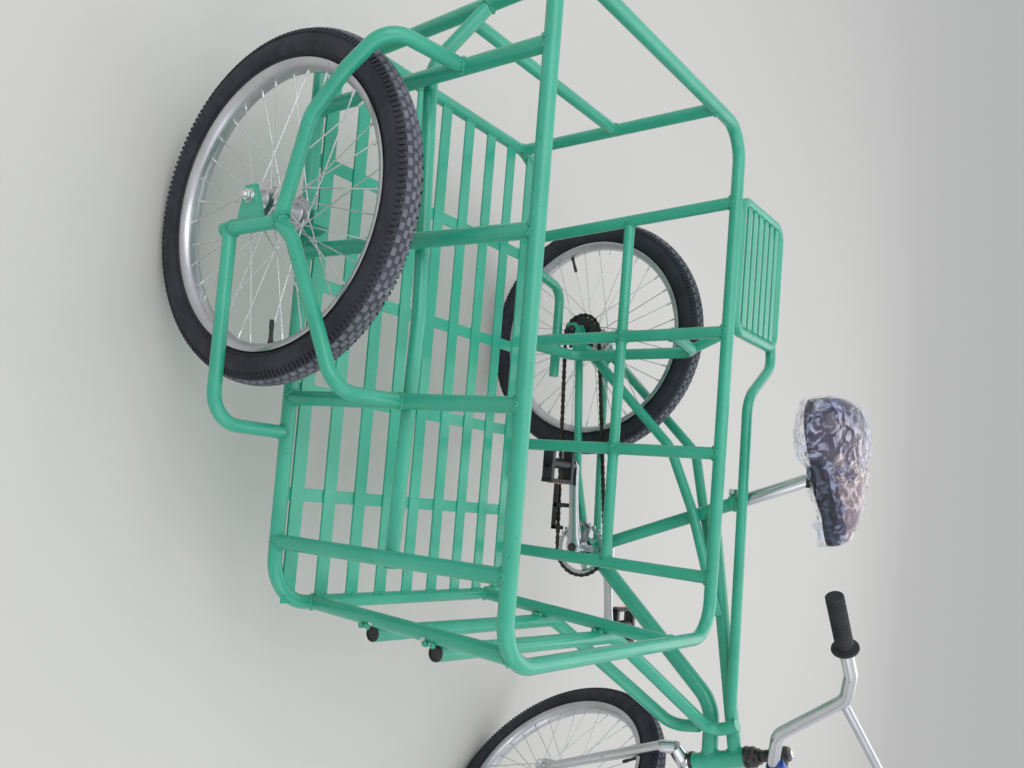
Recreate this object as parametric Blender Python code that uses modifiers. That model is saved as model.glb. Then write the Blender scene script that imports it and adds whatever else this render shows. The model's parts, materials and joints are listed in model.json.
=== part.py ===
# Cycle rickshaw: a small-wheeled bicycle with a tubular cargo basket on its right side.
# Frame while modelling: X forward, Y left, Z up, ground at zero, rear bicycle wheel above the origin.
# At the end everything is carried by one empty that puts the origin under the middle of the whole.
import math
import bpy
import bmesh
from mathutils import Matrix, Vector

# Clearances, in metres
SEAT_GAP = 0.0003
CUT_OVERRUN = 0.006
AXLE_GAP = 0.0004
STEERER_GAP = 0.0004
WELD_BITE = 0.0016
WELD_DISTANCE = 0.00002
SMOOTH_ANGLE = math.radians(40)

# How finely the round shapes are stepped
TUBE_LEVEL = 2
ROD_SIDES = 8
BORE_SIDES = 12
LOOP_STEPS = 3
BEND_STEPS = 2
WHEEL_STEPS = 28
HUB_STEPS = 12

# Tubes
TUBE_R = 0.011
THIN_TUBE_R = 0.010
ARM_R = 0.012

# Wheels
TYRE_R = 0.256
TYRE_HEIGHT = 0.0462
TYRE_HALF_WIDTH = 0.0255
RIM_R = TYRE_R - TYRE_HEIGHT - SEAT_GAP
RIM_DEPTH = 0.0135
RIM_HALF_WIDTH = 0.0165
SPOKE_R = 0.0013
SPOKE_SIDES = 3
SPOKE_PAIRS = 7
SPOKE_STAGGER = 0.0016
HUB_SHELL_R = 0.015
HUB_NECK_R = 0.01125
HUB_FLANGE_R = 0.026
HUB_FLANGE_THICK = 0.0044
FLANGE_SHARE = 0.62
AXLE_R = 0.0048
NUT_R = 0.0085
NUT_LENGTH = 0.009
AXLE_END = 0.0032
DROPOUT_THICK = 0.005
TAB_R = 0.016
FRONT_HUB_HALF = 0.050
REAR_HUB_HALF = 0.055
SIDE_HUB_HALF = 0.050
HUB_END_CLEARANCE = 0.004
TYRE_TOP_Z = 2 * TYRE_R

# Tyre outline: shares of its height and of its half width
TYRE_SHARES = ((0.00, 0.50), (0.22, 0.86), (0.48, 1.00), (0.80, 0.80), (1.00, 0.26))
# Rim outline: shares of its depth, inwards, and of its half width
RIM_SHARES = ((0.00, 0.90), (0.35, 1.00), (1.00, 0.34))
# Tabs round the axles: shares of the reach to the tube, of the tab's radius along and of it up
GUARD_TAB_SHARES = ((0, -1.00, -0.75), (1, 0.0, -1.62), (1, 0.0, 2.12), (0, -0.12, 1.06), (0, -1.00, 0.62))
HOOP_TAB_SHARES = ((0, -1.00, -0.88), (1, 0.0, 0.75), (1, 0.0, 3.12), (0, -0.38, 1.00), (0, -1.00, 0.50))
DROPOUT_SHARES = ((0, -1.00, -0.88), (0, 1.88, -0.75), (0, 3.25, 0.25), (0, 2.50, 1.50), (0, 0.38, 1.12),
                  (0, -1.00, 0.50))
FORK_TAB_SHARES = ((0, -0.88, 2.81), (0, 0.62, 2.81), (0, 1.00, 0.0), (0, 0.50, -0.88), (0, -0.62, -0.88),
                   (0, -1.00, 0.0))

# Bicycle frame
BRACKET_X = 0.456
BRACKET_RISE = 0.036
BRACKET_SHELL_R = 0.020
BRACKET_SHELL_HALF = 0.034
HEAD_ANGLE = math.radians(73)
FRAME_REACH = 0.376
HEAD_RISE = 0.098
HEAD_TUBE_R = 0.0175
HEAD_CUP_R = 0.0210
HEAD_CUP_HEIGHT = 0.010
HEAD_BELOW = 0.062
HEAD_ABOVE = 0.056
HEAD_LENGTH = HEAD_BELOW + HEAD_ABOVE
SEAT_TUBE_R = 0.0130
SEAT_TUBE_LEAN = 0.120
SEAT_TUBE_RISE = 0.102
SEAT_CLAMP_R = 0.0165
SEAT_CLAMP_HEIGHT = 0.018
DOWN_TUBE_R = 0.0155
DOWN_TUBE_DROP = 0.026
DOWN_TUBE_STRAIGHT = 0.100
DOWN_TUBE_BEND = 0.080
TOP_TUBE_R = 0.0130
TOP_TUBE_UP = 0.028
TOP_TUBE_SEAT_SHARE = 0.83
STAY_R = 0.0085
STAY_HALF_GAP = 0.048
STAY_BEND = 0.060
LONG_STAY_R = 0.0100
LONG_STAY_HALF_GAP = 0.062
# Chain stay: shares of the way from axle to bracket along, and up
CHAIN_STAY_SHARES = ((0.066, 0.083), (0.658, 0.444))
CHAIN_STAY_END_SHARE = 0.65
# Long stay: shares of the top tube from the seat tube, of its radius down, and of the half gap out
LONG_STAY_TOP_SHARES = ((0.008, 2.40, 0.468), (0.436, 0.39, 0.258))
# Long stay below: shares of the way from the axle to its first point on the top tube, along and up
LONG_STAY_LOW_SHARES = ((0.100, 0.088), (0.667, 0.853))

# Steering
FORK_LEAD = 0.01977
STEERER_R = 0.0127
CROWN_DROP = 0.078
CROWN_R = 0.0135
BLADE_R = 0.0125
BLADE_TOP_Y = 0.045
FORK_SHOULDER = 0.010
FORK_SHOULDER_DROP = 0.022
FORK_TIP_RISE = 0.030
FORK_TIP_BACK = 0.004
FORK_BEND = 0.030
STEM_R = 0.0145
STEM_TOP = 0.136
STEM_GAP = 0.0005
NECK_R = 0.013
STEM_CLAMP_R = 0.0181
STEM_CLAMP_HALF = 0.026
BAR_R = 0.0111
BAR_UP = 0.113
BAR_REACH = 0.045
BAR_HALF_WIDTH = 0.372
BAR_RISE = 0.246
BAR_BEND = 0.045
CROSSBAR_R = 0.0080
GRIP_R = 0.0145
GRIP_LENGTH = 0.103
GRIP_FLANGE_R = 0.0220
GRIP_FLANGE_THICK = 0.006
GRIP_END = 0.005
PARKED_STEER = math.radians(-50)
# One half of the handlebar: shares of its half width and of its rise
BAR_SHARES = ((0.086, 0.033), (0.263, 0.175), (0.4355, 0.756), (0.575, 0.866), (1.000, 1.000))
# Where the crossbar meets the leg between the second and third of them
CROSSBAR_LEG_SHARE = 0.958

# Saddle
POST_R = 0.0127
SADDLE_LENGTH = 0.272
SADDLE_WIDTH = 0.195
SADDLE_THICK = 0.086
SADDLE_RISE = 0.1545
SADDLE_TILT = math.radians(7.3)
# Sections across the saddle: shares of its length from the tail, of its half width and of its height
SADDLE_SHARES = ((0.00, 0.55, 0.45), (0.10, 0.86, 0.80), (0.28, 1.00, 1.00), (0.48, 0.84, 0.92),
                 (0.70, 0.42, 0.78), (0.90, 0.27, 0.66), (1.00, 0.16, 0.38))
SADDLE_RING = 12

# Drive
CHAIN_PITCH = 0.0127
RING_TEETH = 28
SPROCKET_TEETH = 20
SPROCKET_INSET = 0.009
CHAIN_LINE_Y = SPROCKET_INSET - REAR_HUB_HALF
CHAIN_HALF_WIDTH = 0.0030
CHAIN_HALF_HEIGHT = 0.0042
CHAIN_ARC_STEPS = 12
RING_THICK = 0.003
TOOTH_HEIGHT = 0.0042
# One tooth: shares of its pitch, and of its height
TOOTH_SHARES = ((0.20, 0.0), (0.60, 1.0))
RING_WINDOWS = 5
RING_WINDOW_R = 0.011
RING_WINDOW_CIRCLE = 0.034
RING_BOSS_R = 0.016
SPINDLE_R = 0.0085
CRANK_LENGTH = 0.170
CRANK_Y = 0.068
CRANK_HALF_THICK = 0.006
CRANK_HALF_WIDTH = 0.0125
CRANK_TIP_SHARE = 0.9
CRANK_ARC_STEPS = 4
CRANK_ANGLE = math.radians(185)
PEDAL_LENGTH = 0.088
PEDAL_HALF_DEPTH = 0.040
PEDAL_HALF_HEIGHT = 0.013
PEDAL_PIN_R = 0.006
PEDAL_PIN_SHOWN = 0.010
# A pedal's window: shares of its half depth, from its middle and wide, and of its length
PEDAL_WINDOW_SHARES = (0.52, 0.55, 0.72)

# Rack over the rear wheel
RACK_RISE = 0.108
RACK_REAR_X = -0.232
RACK_LENGTH = 0.250
RACK_WIDTH = 0.210
RACK_SLATS = 6
RACK_SLAT_SHARE = 0.62
RACK_CORNER_R = 0.030
RACK_RAIL_BEND = 0.060
# Rack rail: shares of the way from the rack to the head, then of the rack's half width
RACK_RAIL_SHARES = ((-0.008, 0.905), (0.054, 0.886))
RACK_RAIL_SEAT_SHARE = 0.162
RACK_STRUT_SHARE = 0.924

# Cargo basket
FLOOR_DROP = 0.0332
FLOOR_REAR_X = -0.328
BASKET_LENGTH = 0.8808
BASKET_HEIGHT = 0.4309
FLOOR_INNER_Y = -0.2150
FLOOR_WIDTH = 0.6026
FLOOR_CORNER_R = 0.070
RAIL_SETBACK = 0.0134
RAIL_OVERHANG = 0.0117
RAIL_FLARE = 0.0154
RAIL_CORNER_R = 0.060
SLATS = 9
SLAT_EDGE_GAP = 0.0031
SLAT_WIDTH = 0.025
SLAT_THICK = 0.004
CROSSBAR_WIDTH = 0.020
CROSSBAR_THICK = 0.004
MID_RAIL_SHARE = 0.5157
# Crossbars of the floor: shares of its length
CROSSBAR_SHARES = (0.236, 0.449, 0.636, 0.815)
# Posts on the long sides: share along the top rail and along the floor
OUTBOARD_POST_SHARES = ((0.133, 0.150), (0.3996, 0.3996), (0.6427, 0.6529), (0.8757, 0.8959))
INBOARD_POST_SHARES = ((0.143, 0.186), (0.404, 0.4257), (0.645, 0.662), (0.8875, 0.898))
# End posts: share across the top rail's end and across the floor's end
REAR_POST_SHARES = (("rear_post_inboard", 0.175, 0.100), ("rear_post_outboard", 0.930, 0.840))
FRONT_POST_SHARES = (("front_post_inboard", 0.235, 0.110), ("front_post_outboard", 0.965, 0.863))

# Sidecar wheel, its lug on the floor and its outer guard
SIDE_WHEEL_X = -0.0136
SIDE_LUG_LENGTH = 0.0312
SIDE_LUG_HALF = 0.018
SIDE_LUG_RISE = 0.016
SOCKET_DEPTH = 0.012
GUARD_STANDOFF = 0.0062
GUARD_POST_AHEAD = 0.0436
GUARD_JOINT_RISE = 0.068
GUARD_FRONT_CLEARANCE = 0.0576
GUARD_TYRE_GAP = 0.012
GUARD_LOW_BEND = 0.045
GUARD_STRUT_BEND = 0.038
GUARD_FOOT = 0.016
# Struts: share of the basket's height on the post, then shares of the way to the joint, along and down
GUARD_REAR_SHARE = 0.6712
GUARD_REAR_SHARES = ((-0.018, 0.138), (0.168, 0.468), (0.389, 0.777))
GUARD_FRONT_SHARE = 0.5319
GUARD_FRONT_SHARES = ((-0.018, 0.016), (0.3465, 0.297), (0.8836, 0.781))

# Arms from the basket to the head of the bicycle
ARM_BEND = 0.048
ARM_HEAD_Y = 0.035
UPPER_ARM_SHARE = 0.6665
LOWER_ARM_SHARE = 0.3416
UPPER_ARM_INSET = 0.006
LOWER_ARM_INSET = 0.009
# Their last two points: shares of the head tube's length, ahead of its middle and up from it
UPPER_ARM_HEAD_SHARES = ((-0.475, -0.085), (-0.661, 0.339))
LOWER_ARM_HEAD_SHARES = ((-0.449, -0.763), (-0.525, -0.297))

# Hoop and brace from the basket to the bicycle's rear axle
HOOP_X = 0.056
HOOP_STANDOFF = 0.028
HOOP_BEND = 0.034
HOOP_LOW_RISE = 0.012
HOOP_FOOT_BACK = 0.006
HOOP_POST_SHARE = 0.7547
HOOP_TOP_SHARE = 0.7315
BRACE_REAR = 0.107
BRACE_BEND_REAR = 0.088
BRACE_FRONT = 0.100
BRACE_OUT = 0.006

GREEN = (0.013, 0.352, 0.188)
CHROME = (0.62, 0.64, 0.66)
STEEL = (0.33, 0.34, 0.36)
BLACK = (0.015, 0.015, 0.017)
DARK_VINYL = (0.03, 0.03, 0.035)

ACROSS = Vector((0.0, 1.0, 0.0))
UP = Vector((0.0, 0.0, 1.0))


def fresh_scene():
    for obj in list(bpy.data.objects):
        bpy.data.objects.remove(obj, do_unlink=True)
    parts = bpy.data.collections.new("cycle_rickshaw")
    cutters = bpy.data.collections.new("cutters")
    bpy.context.scene.collection.children.link(parts)
    bpy.context.scene.collection.children.link(cutters)
    return parts, cutters


PARTS, CUTTERS = fresh_scene()


def material(name, colour, roughness, metallic):
    mat = bpy.data.materials.new(name)
    mat.use_nodes = True
    shader = mat.node_tree.nodes["Principled BSDF"]
    shader.inputs["Base Color"].default_value = (*colour, 1.0)
    shader.inputs["Roughness"].default_value = roughness
    shader.inputs["Metallic"].default_value = metallic
    return mat


PAINT = material("green_paint", GREEN, 0.25, 0.0)
BRIGHT = material("chrome", CHROME, 0.15, 1.0)
DARK_STEEL = material("dark_steel", STEEL, 0.40, 1.0)
RUBBER = material("tyre_rubber", BLACK, 0.85, 0.0)
PLASTIC = material("black_plastic", BLACK, 0.45, 0.0)
VINYL = material("saddle_vinyl", DARK_VINYL, 0.40, 0.0)


# Mesh helpers: every helper returns an object that is not yet a part, until keep() takes it.

def loose(name, mesh):
    obj = bpy.data.objects.new(name, mesh)
    bpy.context.scene.collection.objects.link(obj)
    return obj


def clean(mesh):
    bm = bmesh.new()
    bm.from_mesh(mesh)
    bmesh.ops.remove_doubles(bm, verts=bm.verts, dist=WELD_DISTANCE)
    bmesh.ops.recalc_face_normals(bm, faces=bm.faces)
    bm.to_mesh(mesh)
    bm.free()


def evaluated(obj):
    graph = bpy.context.evaluated_depsgraph_get()
    mesh = bpy.data.meshes.new_from_object(obj.evaluated_get(graph))
    mesh.transform(obj.matrix_world)
    return mesh


def baked(obj):
    mesh = evaluated(obj)
    name = obj.name
    bpy.data.objects.remove(obj, do_unlink=True)
    clean(mesh)
    return loose(name, mesh)


def move_to(collection, obj):
    for old in list(obj.users_collection):
        old.objects.unlink(obj)
    collection.objects.link(obj)
    return obj


def keep(obj, name, mat):
    obj.name = name
    obj.data.name = name
    obj.data.materials.clear()
    obj.data.materials.append(mat)
    obj.data.shade_smooth()
    obj.data.set_sharp_from_angle(angle=SMOOTH_ANGLE)
    return move_to(PARTS, obj)


def cutter(obj, name):
    obj.name = name
    obj.hide_render = True
    obj.display_type = "WIRE"
    return move_to(CUTTERS, obj)


def joined(objects):
    bm = bmesh.new()
    for obj in objects:
        bm.from_mesh(obj.data)
        bpy.data.objects.remove(obj, do_unlink=True)
    mesh = bpy.data.meshes.new("joined")
    bm.to_mesh(mesh)
    bm.free()
    return loose("joined", mesh)


def boolean(base, tool, operation, spare_tool=False):
    mod = base.modifiers.new(operation.lower(), "BOOLEAN")
    mod.operation = operation
    mod.solver = "EXACT"
    mod.object = tool
    bpy.context.view_layer.update()
    result = evaluated(base)
    name = base.name
    bpy.data.objects.remove(base, do_unlink=True)
    if not spare_tool:
        bpy.data.objects.remove(tool, do_unlink=True)
    clean(result)
    return loose(name, result)


def union(base, *tools):
    for tool in tools:
        base = boolean(base, tool, "UNION")
    return base


def bodies(bm):
    # The sets of vertices that hang together.
    left = set(bm.verts)
    found = []
    while left:
        body = set()
        edge = [left.pop()]
        while edge:
            vertex = edge.pop()
            body.add(vertex)
            for link in vertex.link_edges:
                other = link.other_vert(vertex)
                if other in left:
                    left.remove(other)
                    edge.append(other)
        found.append(body)
    return found


def reach_of(body):
    low = Vector(map(min, zip(*(v.co for v in body))))
    high = Vector(map(max, zip(*(v.co for v in body))))
    return (high - low).length


def cut(base, *tools):
    # Cuts the tools' shapes away and keeps the largest of the bodies that are left.
    for tool in tools:
        base = boolean(base, tool, "DIFFERENCE", spare_tool=True)
    bm = bmesh.new()
    bm.from_mesh(base.data)
    for body in sorted(bodies(bm), key=reach_of)[:-1]:
        bmesh.ops.delete(bm, geom=list(body), context="VERTS")
    bm.to_mesh(base.data)
    bm.free()
    return base


def box(centre, size):
    bm = bmesh.new()
    bmesh.ops.create_cube(bm, size=1.0)
    bmesh.ops.scale(bm, verts=bm.verts, vec=Vector(size))
    bmesh.ops.translate(bm, verts=bm.verts, vec=Vector(centre))
    mesh = bpy.data.meshes.new("box")
    bm.to_mesh(mesh)
    bm.free()
    return loose("box", mesh)


def rod(start, end, radius, sides=ROD_SIDES):
    start, end = Vector(start), Vector(end)
    span = end - start
    bm = bmesh.new()
    sizes = {"radius1": radius, "radius2": radius, "depth": span.length}
    bmesh.ops.create_cone(bm, cap_ends=True, segments=sides, **sizes)
    turn = span.to_track_quat("Z", "Y").to_matrix().to_4x4()
    bmesh.ops.transform(bm, verts=bm.verts, matrix=Matrix.Translation((start + end) / 2) @ turn)
    mesh = bpy.data.meshes.new("rod")
    bm.to_mesh(mesh)
    bm.free()
    return loose("rod", mesh)


def rod_across(centre, half, radius, sides=BORE_SIDES):
    # A rod along Y, half its length to each side of its centre.
    return rod(centre - ACROSS * half, centre + ACROSS * half, radius, sides)


def around(radius, gap, sides=BORE_SIDES):
    # The radius of a faceted bore whose flats clear a shaft of this radius by the gap.
    return (radius + gap) / math.cos(math.pi / sides)


def axle_bore(centre, half):
    # A hole for a wheel's axle, cut past both faces of what is half as thick as this.
    return rod_across(centre, half + CUT_OVERRUN, around(AXLE_R, SEAT_GAP))


def rounded(points, radius, closed=False, steps=BEND_STEPS):
    # Replaces each corner of a polyline by an arc that is tangent to both of its runs.
    points = [Vector(p) for p in points]
    count = len(points)
    path = []
    for i, corner in enumerate(points):
        if not closed and i in (0, count - 1):
            path.append(corner)
            continue
        back = points[i - 1] - corner
        ahead = points[(i + 1) % count] - corner
        half = back.angle(ahead) / 2
        reach = min(radius / math.tan(half), 0.49 * back.length, 0.49 * ahead.length)
        first = corner + back.normalized() * reach
        bisector = (back.normalized() + ahead.normalized()).normalized()
        centre = corner + bisector * (reach / math.cos(half))
        arm = first - centre
        last = corner + ahead.normalized() * reach
        turn = arm.angle(last - centre)
        axis = arm.cross(last - centre).normalized()
        for k in range(steps + 1):
            path.append(centre + Matrix.Rotation(turn * k / steps, 3, axis) @ arm)
    return path


def tube(points, radius, closed=False):
    data = bpy.data.curves.new("tube", "CURVE")
    data.dimensions = "3D"
    data.bevel_depth = radius
    data.bevel_resolution = TUBE_LEVEL
    data.use_fill_caps = not closed
    spline = data.splines.new("POLY")
    spline.points.add(len(points) - 1)
    for point, place in zip(spline.points, points):
        point.co = (*place, 1.0)
    spline.use_cyclic_u = closed
    obj = bpy.data.objects.new("tube", data)
    bpy.context.scene.collection.objects.link(obj)
    bpy.context.view_layer.update()
    return baked(obj)


def bent_tube(points, radius, bend, closed=False):
    return tube(rounded(points, bend, closed), radius, closed)


def turned(profile, steps, closed):
    # A profile of (radius, height) pairs turned about the Y axis; heights run towards +Y.
    mesh = bpy.data.meshes.new("turned")
    points = [(radius, 0.0, height) for radius, height in profile]
    edges = [(i, i + 1) for i in range(len(points) - 1)]
    if closed:
        edges.append((len(points) - 1, 0))
    mesh.from_pydata(points, edges, [])
    obj = loose("turned", mesh)
    screw = obj.modifiers.new("screw", "SCREW")
    screw.axis = "Z"
    screw.steps = steps
    screw.render_steps = steps
    screw.use_merge_vertices = True
    screw.merge_threshold = WELD_DISTANCE
    bpy.context.view_layer.update()
    obj = baked(obj)
    obj.data.transform(Matrix.Rotation(-math.pi / 2, 4, "X"))
    return obj


def mirrored(half):
    # A turned profile whose second half is the first with its heights below the middle.
    return half + [(radius, -height) for radius, height in reversed(half)]


def plate(outline, thick, y):
    # A flat outline of (x, z) pairs in the plane y, half its thickness to each side.
    bm = bmesh.new()
    verts = [bm.verts.new((x, y - thick / 2, z)) for x, z in outline]
    face = bm.faces.new(verts)
    extruded = bmesh.ops.extrude_face_region(bm, geom=[face])
    far = [v for v in extruded["geom"] if isinstance(v, bmesh.types.BMVert)]
    bmesh.ops.translate(bm, verts=far, vec=(0.0, thick, 0.0))
    bmesh.ops.recalc_face_normals(bm, faces=bm.faces)
    mesh = bpy.data.meshes.new("plate")
    bm.to_mesh(mesh)
    bm.free()
    return loose("plate", mesh)


def tab_outline(shares, axle, reach=0.0):
    # An axle tab's outline from its shares of the reach to its tube and of the tab's radius.
    outline = []
    for of_reach, along, up in shares:
        outline.append((axle.x + of_reach * reach + along * TAB_R, axle.z + up * TAB_R))
    return outline


def grown(outline, extra):
    # An outline of (x, z) pairs moved outwards from its middle.
    middle = Vector((sum(p[0] for p in outline), sum(p[1] for p in outline))) / len(outline)
    return [tuple(Vector(p) + (Vector(p) - middle).normalized() * extra) for p in outline]


def moved(obj, offset):
    obj.data.transform(Matrix.Translation(Vector(offset)))
    return obj


def carrier(name, place, parent):
    # An empty on a joint's axis, which remembers where it stands while the parts are modelled.
    empty = bpy.data.objects.new(name, None)
    empty["home"] = list(place)
    bpy.context.scene.collection.objects.link(empty)
    empty.parent = parent
    empty.location = Vector(place) - Vector(parent["home"])
    return empty


def on_axis(obj, holder):
    # Gives a moving piece its origin on the joint's axis, where its carrier stands.
    obj.data.transform(Matrix.Translation(-Vector(holder["home"])))
    obj.parent = holder
    obj.location = (0.0, 0.0, 0.0)
    return obj


# Where the main points of the machine lie

REAR_AXLE = Vector((0.0, 0.0, TYRE_R))
BRACKET = Vector((BRACKET_X, 0.0, TYRE_R + BRACKET_RISE))
HEAD = Vector((BRACKET_X + FRAME_REACH, 0.0, TYRE_TOP_Z + HEAD_RISE))
HEAD_AXIS = Vector((-math.cos(HEAD_ANGLE), 0.0, math.sin(HEAD_ANGLE)))
HEAD_OUT = Vector((math.sin(HEAD_ANGLE), 0.0, math.cos(HEAD_ANGLE)))
SEAT_TOP = Vector((BRACKET_X - SEAT_TUBE_LEAN, 0.0, TYRE_TOP_Z + SEAT_TUBE_RISE))
SEAT_LINE = (SEAT_TOP - BRACKET).normalized()
TOP_TUBE_REAR = BRACKET.lerp(SEAT_TOP, TOP_TUBE_SEAT_SHARE)
TOP_TUBE_FRONT = HEAD + HEAD_AXIS * TOP_TUBE_UP
RACK_Z = TYRE_TOP_Z + RACK_RISE
RACK_FRONT_X = RACK_REAR_X + RACK_LENGTH
FLOOR_Z = TYRE_R - FLOOR_DROP
FLOOR_OUTER_Y = FLOOR_INNER_Y - FLOOR_WIDTH
RAIL_REAR_X = FLOOR_REAR_X + RAIL_SETBACK
RAIL_LENGTH = BASKET_LENGTH + RAIL_OVERHANG
RAIL_WIDTH = FLOOR_WIDTH + RAIL_FLARE
RAIL_Z = FLOOR_Z + BASKET_HEIGHT
SIDE_AXLE = Vector((SIDE_WHEEL_X, FLOOR_OUTER_Y - SIDE_LUG_LENGTH - SIDE_HUB_HALF, TYRE_R))
GUARD_Y = SIDE_AXLE.y - SIDE_HUB_HALF - GUARD_STANDOFF
HOOP_Y = -REAR_HUB_HALF - DROPOUT_THICK - HOOP_STANDOFF


def head_point(up, ahead=0.0, left=0.0):
    # A point given by its distance up the steering axis, ahead of it and left of it.
    return HEAD + HEAD_AXIS * up + HEAD_OUT * ahead + ACROSS * left


def tyre_section():
    # Half outline of the tyre as (radius, half width).
    base = RIM_R + SEAT_GAP
    return [(base + high * TYRE_HEIGHT, wide * TYRE_HALF_WIDTH) for high, wide in TYRE_SHARES]


def front_axle_place():
    # The fork is as long as it must be for the tyre to touch the ground with the steering parked.
    turn = Matrix.Rotation(PARKED_STEER, 3, HEAD_AXIS)
    drop = (HEAD.z - TYRE_R) / math.tan(HEAD_ANGLE)
    first = Vector((HEAD.x + drop + FORK_LEAD, 0.0, TYRE_R))
    parked = HEAD + turn @ (first - HEAD)
    lean = abs(math.asin((turn @ ACROSS).z))
    depth = max(r * math.cos(lean) + w * math.sin(lean) for r, w in tyre_section())
    return first - HEAD_AXIS * ((parked.z - depth) / HEAD_AXIS.z)


FRONT_AXLE = front_axle_place()


def rail_loop(share_x, share_y):
    # A point of the top rail: shares run forward along its length and outboard across its width.
    return Vector((RAIL_REAR_X + share_x * RAIL_LENGTH, FLOOR_INNER_Y - share_y * RAIL_WIDTH, RAIL_Z))


def floor_loop(share_x, share_y):
    return Vector((FLOOR_REAR_X + share_x * BASKET_LENGTH, FLOOR_INNER_Y - share_y * FLOOR_WIDTH, FLOOR_Z))


def basket_z(share):
    return FLOOR_Z + share * BASKET_HEIGHT


# Basket

def loop_path(loop, corner):
    corners = [loop(sx, sy) for sx, sy in ((0, 0), (1, 0), (1, 1), (0, 1))]
    return rounded(corners, corner, closed=True, steps=LOOP_STEPS)


def cargo_floor():
    edge = tube(loop_path(floor_loop, FLOOR_CORNER_R), TUBE_R, closed=True)
    first_y = FLOOR_INNER_Y - TUBE_R - SLAT_WIDTH
    last_y = FLOOR_OUTER_Y + TUBE_R + SLAT_EDGE_GAP + SLAT_WIDTH / 2
    middle_x = FLOOR_REAR_X + BASKET_LENGTH / 2
    slats = []
    spaces = []
    for i in range(SLATS):
        middle = (middle_x, first_y + (last_y - first_y) * i / (SLATS - 1), FLOOR_Z + TUBE_R / 2)
        slats.append(box(middle, (BASKET_LENGTH, SLAT_WIDTH, SLAT_THICK)))
        spaces.append(box(middle, (BASKET_LENGTH, SLAT_WIDTH + SEAT_GAP * 2, SLAT_THICK + SEAT_GAP * 2)))
    cutter(joined(spaces), "slat_space")
    bars = []
    for share in CROSSBAR_SHARES:
        middle = floor_loop(share, 0.5) + UP * (TUBE_R / 2 - SLAT_THICK * 0.75)
        bars.append(box(middle, (CROSSBAR_WIDTH, FLOOR_WIDTH, CROSSBAR_THICK)))
    floor = union(edge, joined(slats), joined(bars), side_axle_lug())
    return keep(floor, "cargo_floor", PAINT)


def side_axle_lug():
    # The lug that carries the inner end of the sidecar wheel's axle on the floor's edge tube.
    inner_face = SIDE_AXLE.y + SIDE_HUB_HALF
    outline = [(-SIDE_LUG_HALF, FLOOR_Z - TUBE_R / 2), (SIDE_LUG_HALF, FLOOR_Z - TUBE_R / 2),
               (SIDE_LUG_HALF, TYRE_R), (SIDE_LUG_HALF / 2, TYRE_R + SIDE_LUG_RISE),
               (-SIDE_LUG_HALF / 2, TYRE_R + SIDE_LUG_RISE), (-SIDE_LUG_HALF, TYRE_R)]
    outline = [(SIDE_WHEEL_X + x, z) for x, z in outline]
    middle_y = inner_face + SIDE_LUG_LENGTH / 2
    lug = plate(outline, SIDE_LUG_LENGTH, middle_y)
    cutter(plate(grown(outline, SEAT_GAP * 2), SIDE_LUG_LENGTH + SEAT_GAP * 2, middle_y), "side_lug_space")
    mouth = Vector((SIDE_WHEEL_X, inner_face, TYRE_R))
    depth = ACROSS * SOCKET_DEPTH
    hole = rod(mouth - ACROSS * CUT_OVERRUN, mouth + depth, around(AXLE_R, SEAT_GAP), BORE_SIDES)
    return cut(lug, cutter(hole, "side_axle_hole"))


def end_inset(share, width, corner):
    # How far the end of a rounded loop lies back from its straight, for a share of its width.
    past = abs(share - 0.5) * width - (width / 2 - corner)
    if past <= 0.0:
        return 0.0
    return corner - math.sqrt(corner ** 2 - past ** 2)


def post_ends():
    ends = {}
    for group, rows, side in (("outboard", OUTBOARD_POST_SHARES, 1.0), ("inboard", INBOARD_POST_SHARES, 0.0)):
        for i, (top_share, floor_share) in enumerate(rows):
            name = "%s_post_%d" % (group, i + 1)
            ends[name] = (rail_loop(top_share, side), floor_loop(floor_share, side))
    for rows, end, inward in ((REAR_POST_SHARES, 0.0, 1.0), (FRONT_POST_SHARES, 1.0, -1.0)):
        for name, top_share, floor_share in rows:
            top = rail_loop(end, top_share)
            top.x += inward * end_inset(top_share, RAIL_WIDTH, RAIL_CORNER_R)
            foot = floor_loop(end, floor_share)
            foot.x += inward * end_inset(floor_share, FLOOR_WIDTH, FLOOR_CORNER_R)
            ends[name] = (top, foot)
    return ends


POST_ENDS = post_ends()


def post_point(name, z):
    top, foot = POST_ENDS[name]
    return foot.lerp(top, (z - foot.z) / (top.z - foot.z))


def post_cutter(name):
    label = name + "_space"
    if label in bpy.data.objects:
        return bpy.data.objects[label]
    top, foot = POST_ENDS[name]
    return cutter(rod(foot, top, TUBE_R), label)


def basket():
    rail_path = loop_path(rail_loop, RAIL_CORNER_R)
    floor_path = loop_path(floor_loop, FLOOR_CORNER_R)
    keep(tube(rail_path, TUBE_R, closed=True), "top_rail", PAINT)
    rail_space = cutter(tube(rail_path, TUBE_R + SEAT_GAP, closed=True), "top_rail_space")
    cargo_floor()
    floor_space = cutter(tube(floor_path, TUBE_R + SEAT_GAP, closed=True), "floor_edge_space")
    for name, (top, foot) in POST_ENDS.items():
        spaces = [rail_space, floor_space]
        if name.startswith("outboard"):
            spaces.append(bpy.data.objects["side_lug_space"])
        if name.startswith(("front", "rear")):
            spaces.append(bpy.data.objects["slat_space"])
        keep(cut(rod(foot, top, TUBE_R - SEAT_GAP), *spaces), name, PAINT)


def butted_rail(names, z, name):
    # A thin rail butted between two posts.
    rail = rod(post_point(names[0], z), post_point(names[1], z), THIN_TUBE_R)
    keep(cut(rail, *(post_cutter(post) for post in names)), name, PAINT)


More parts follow.
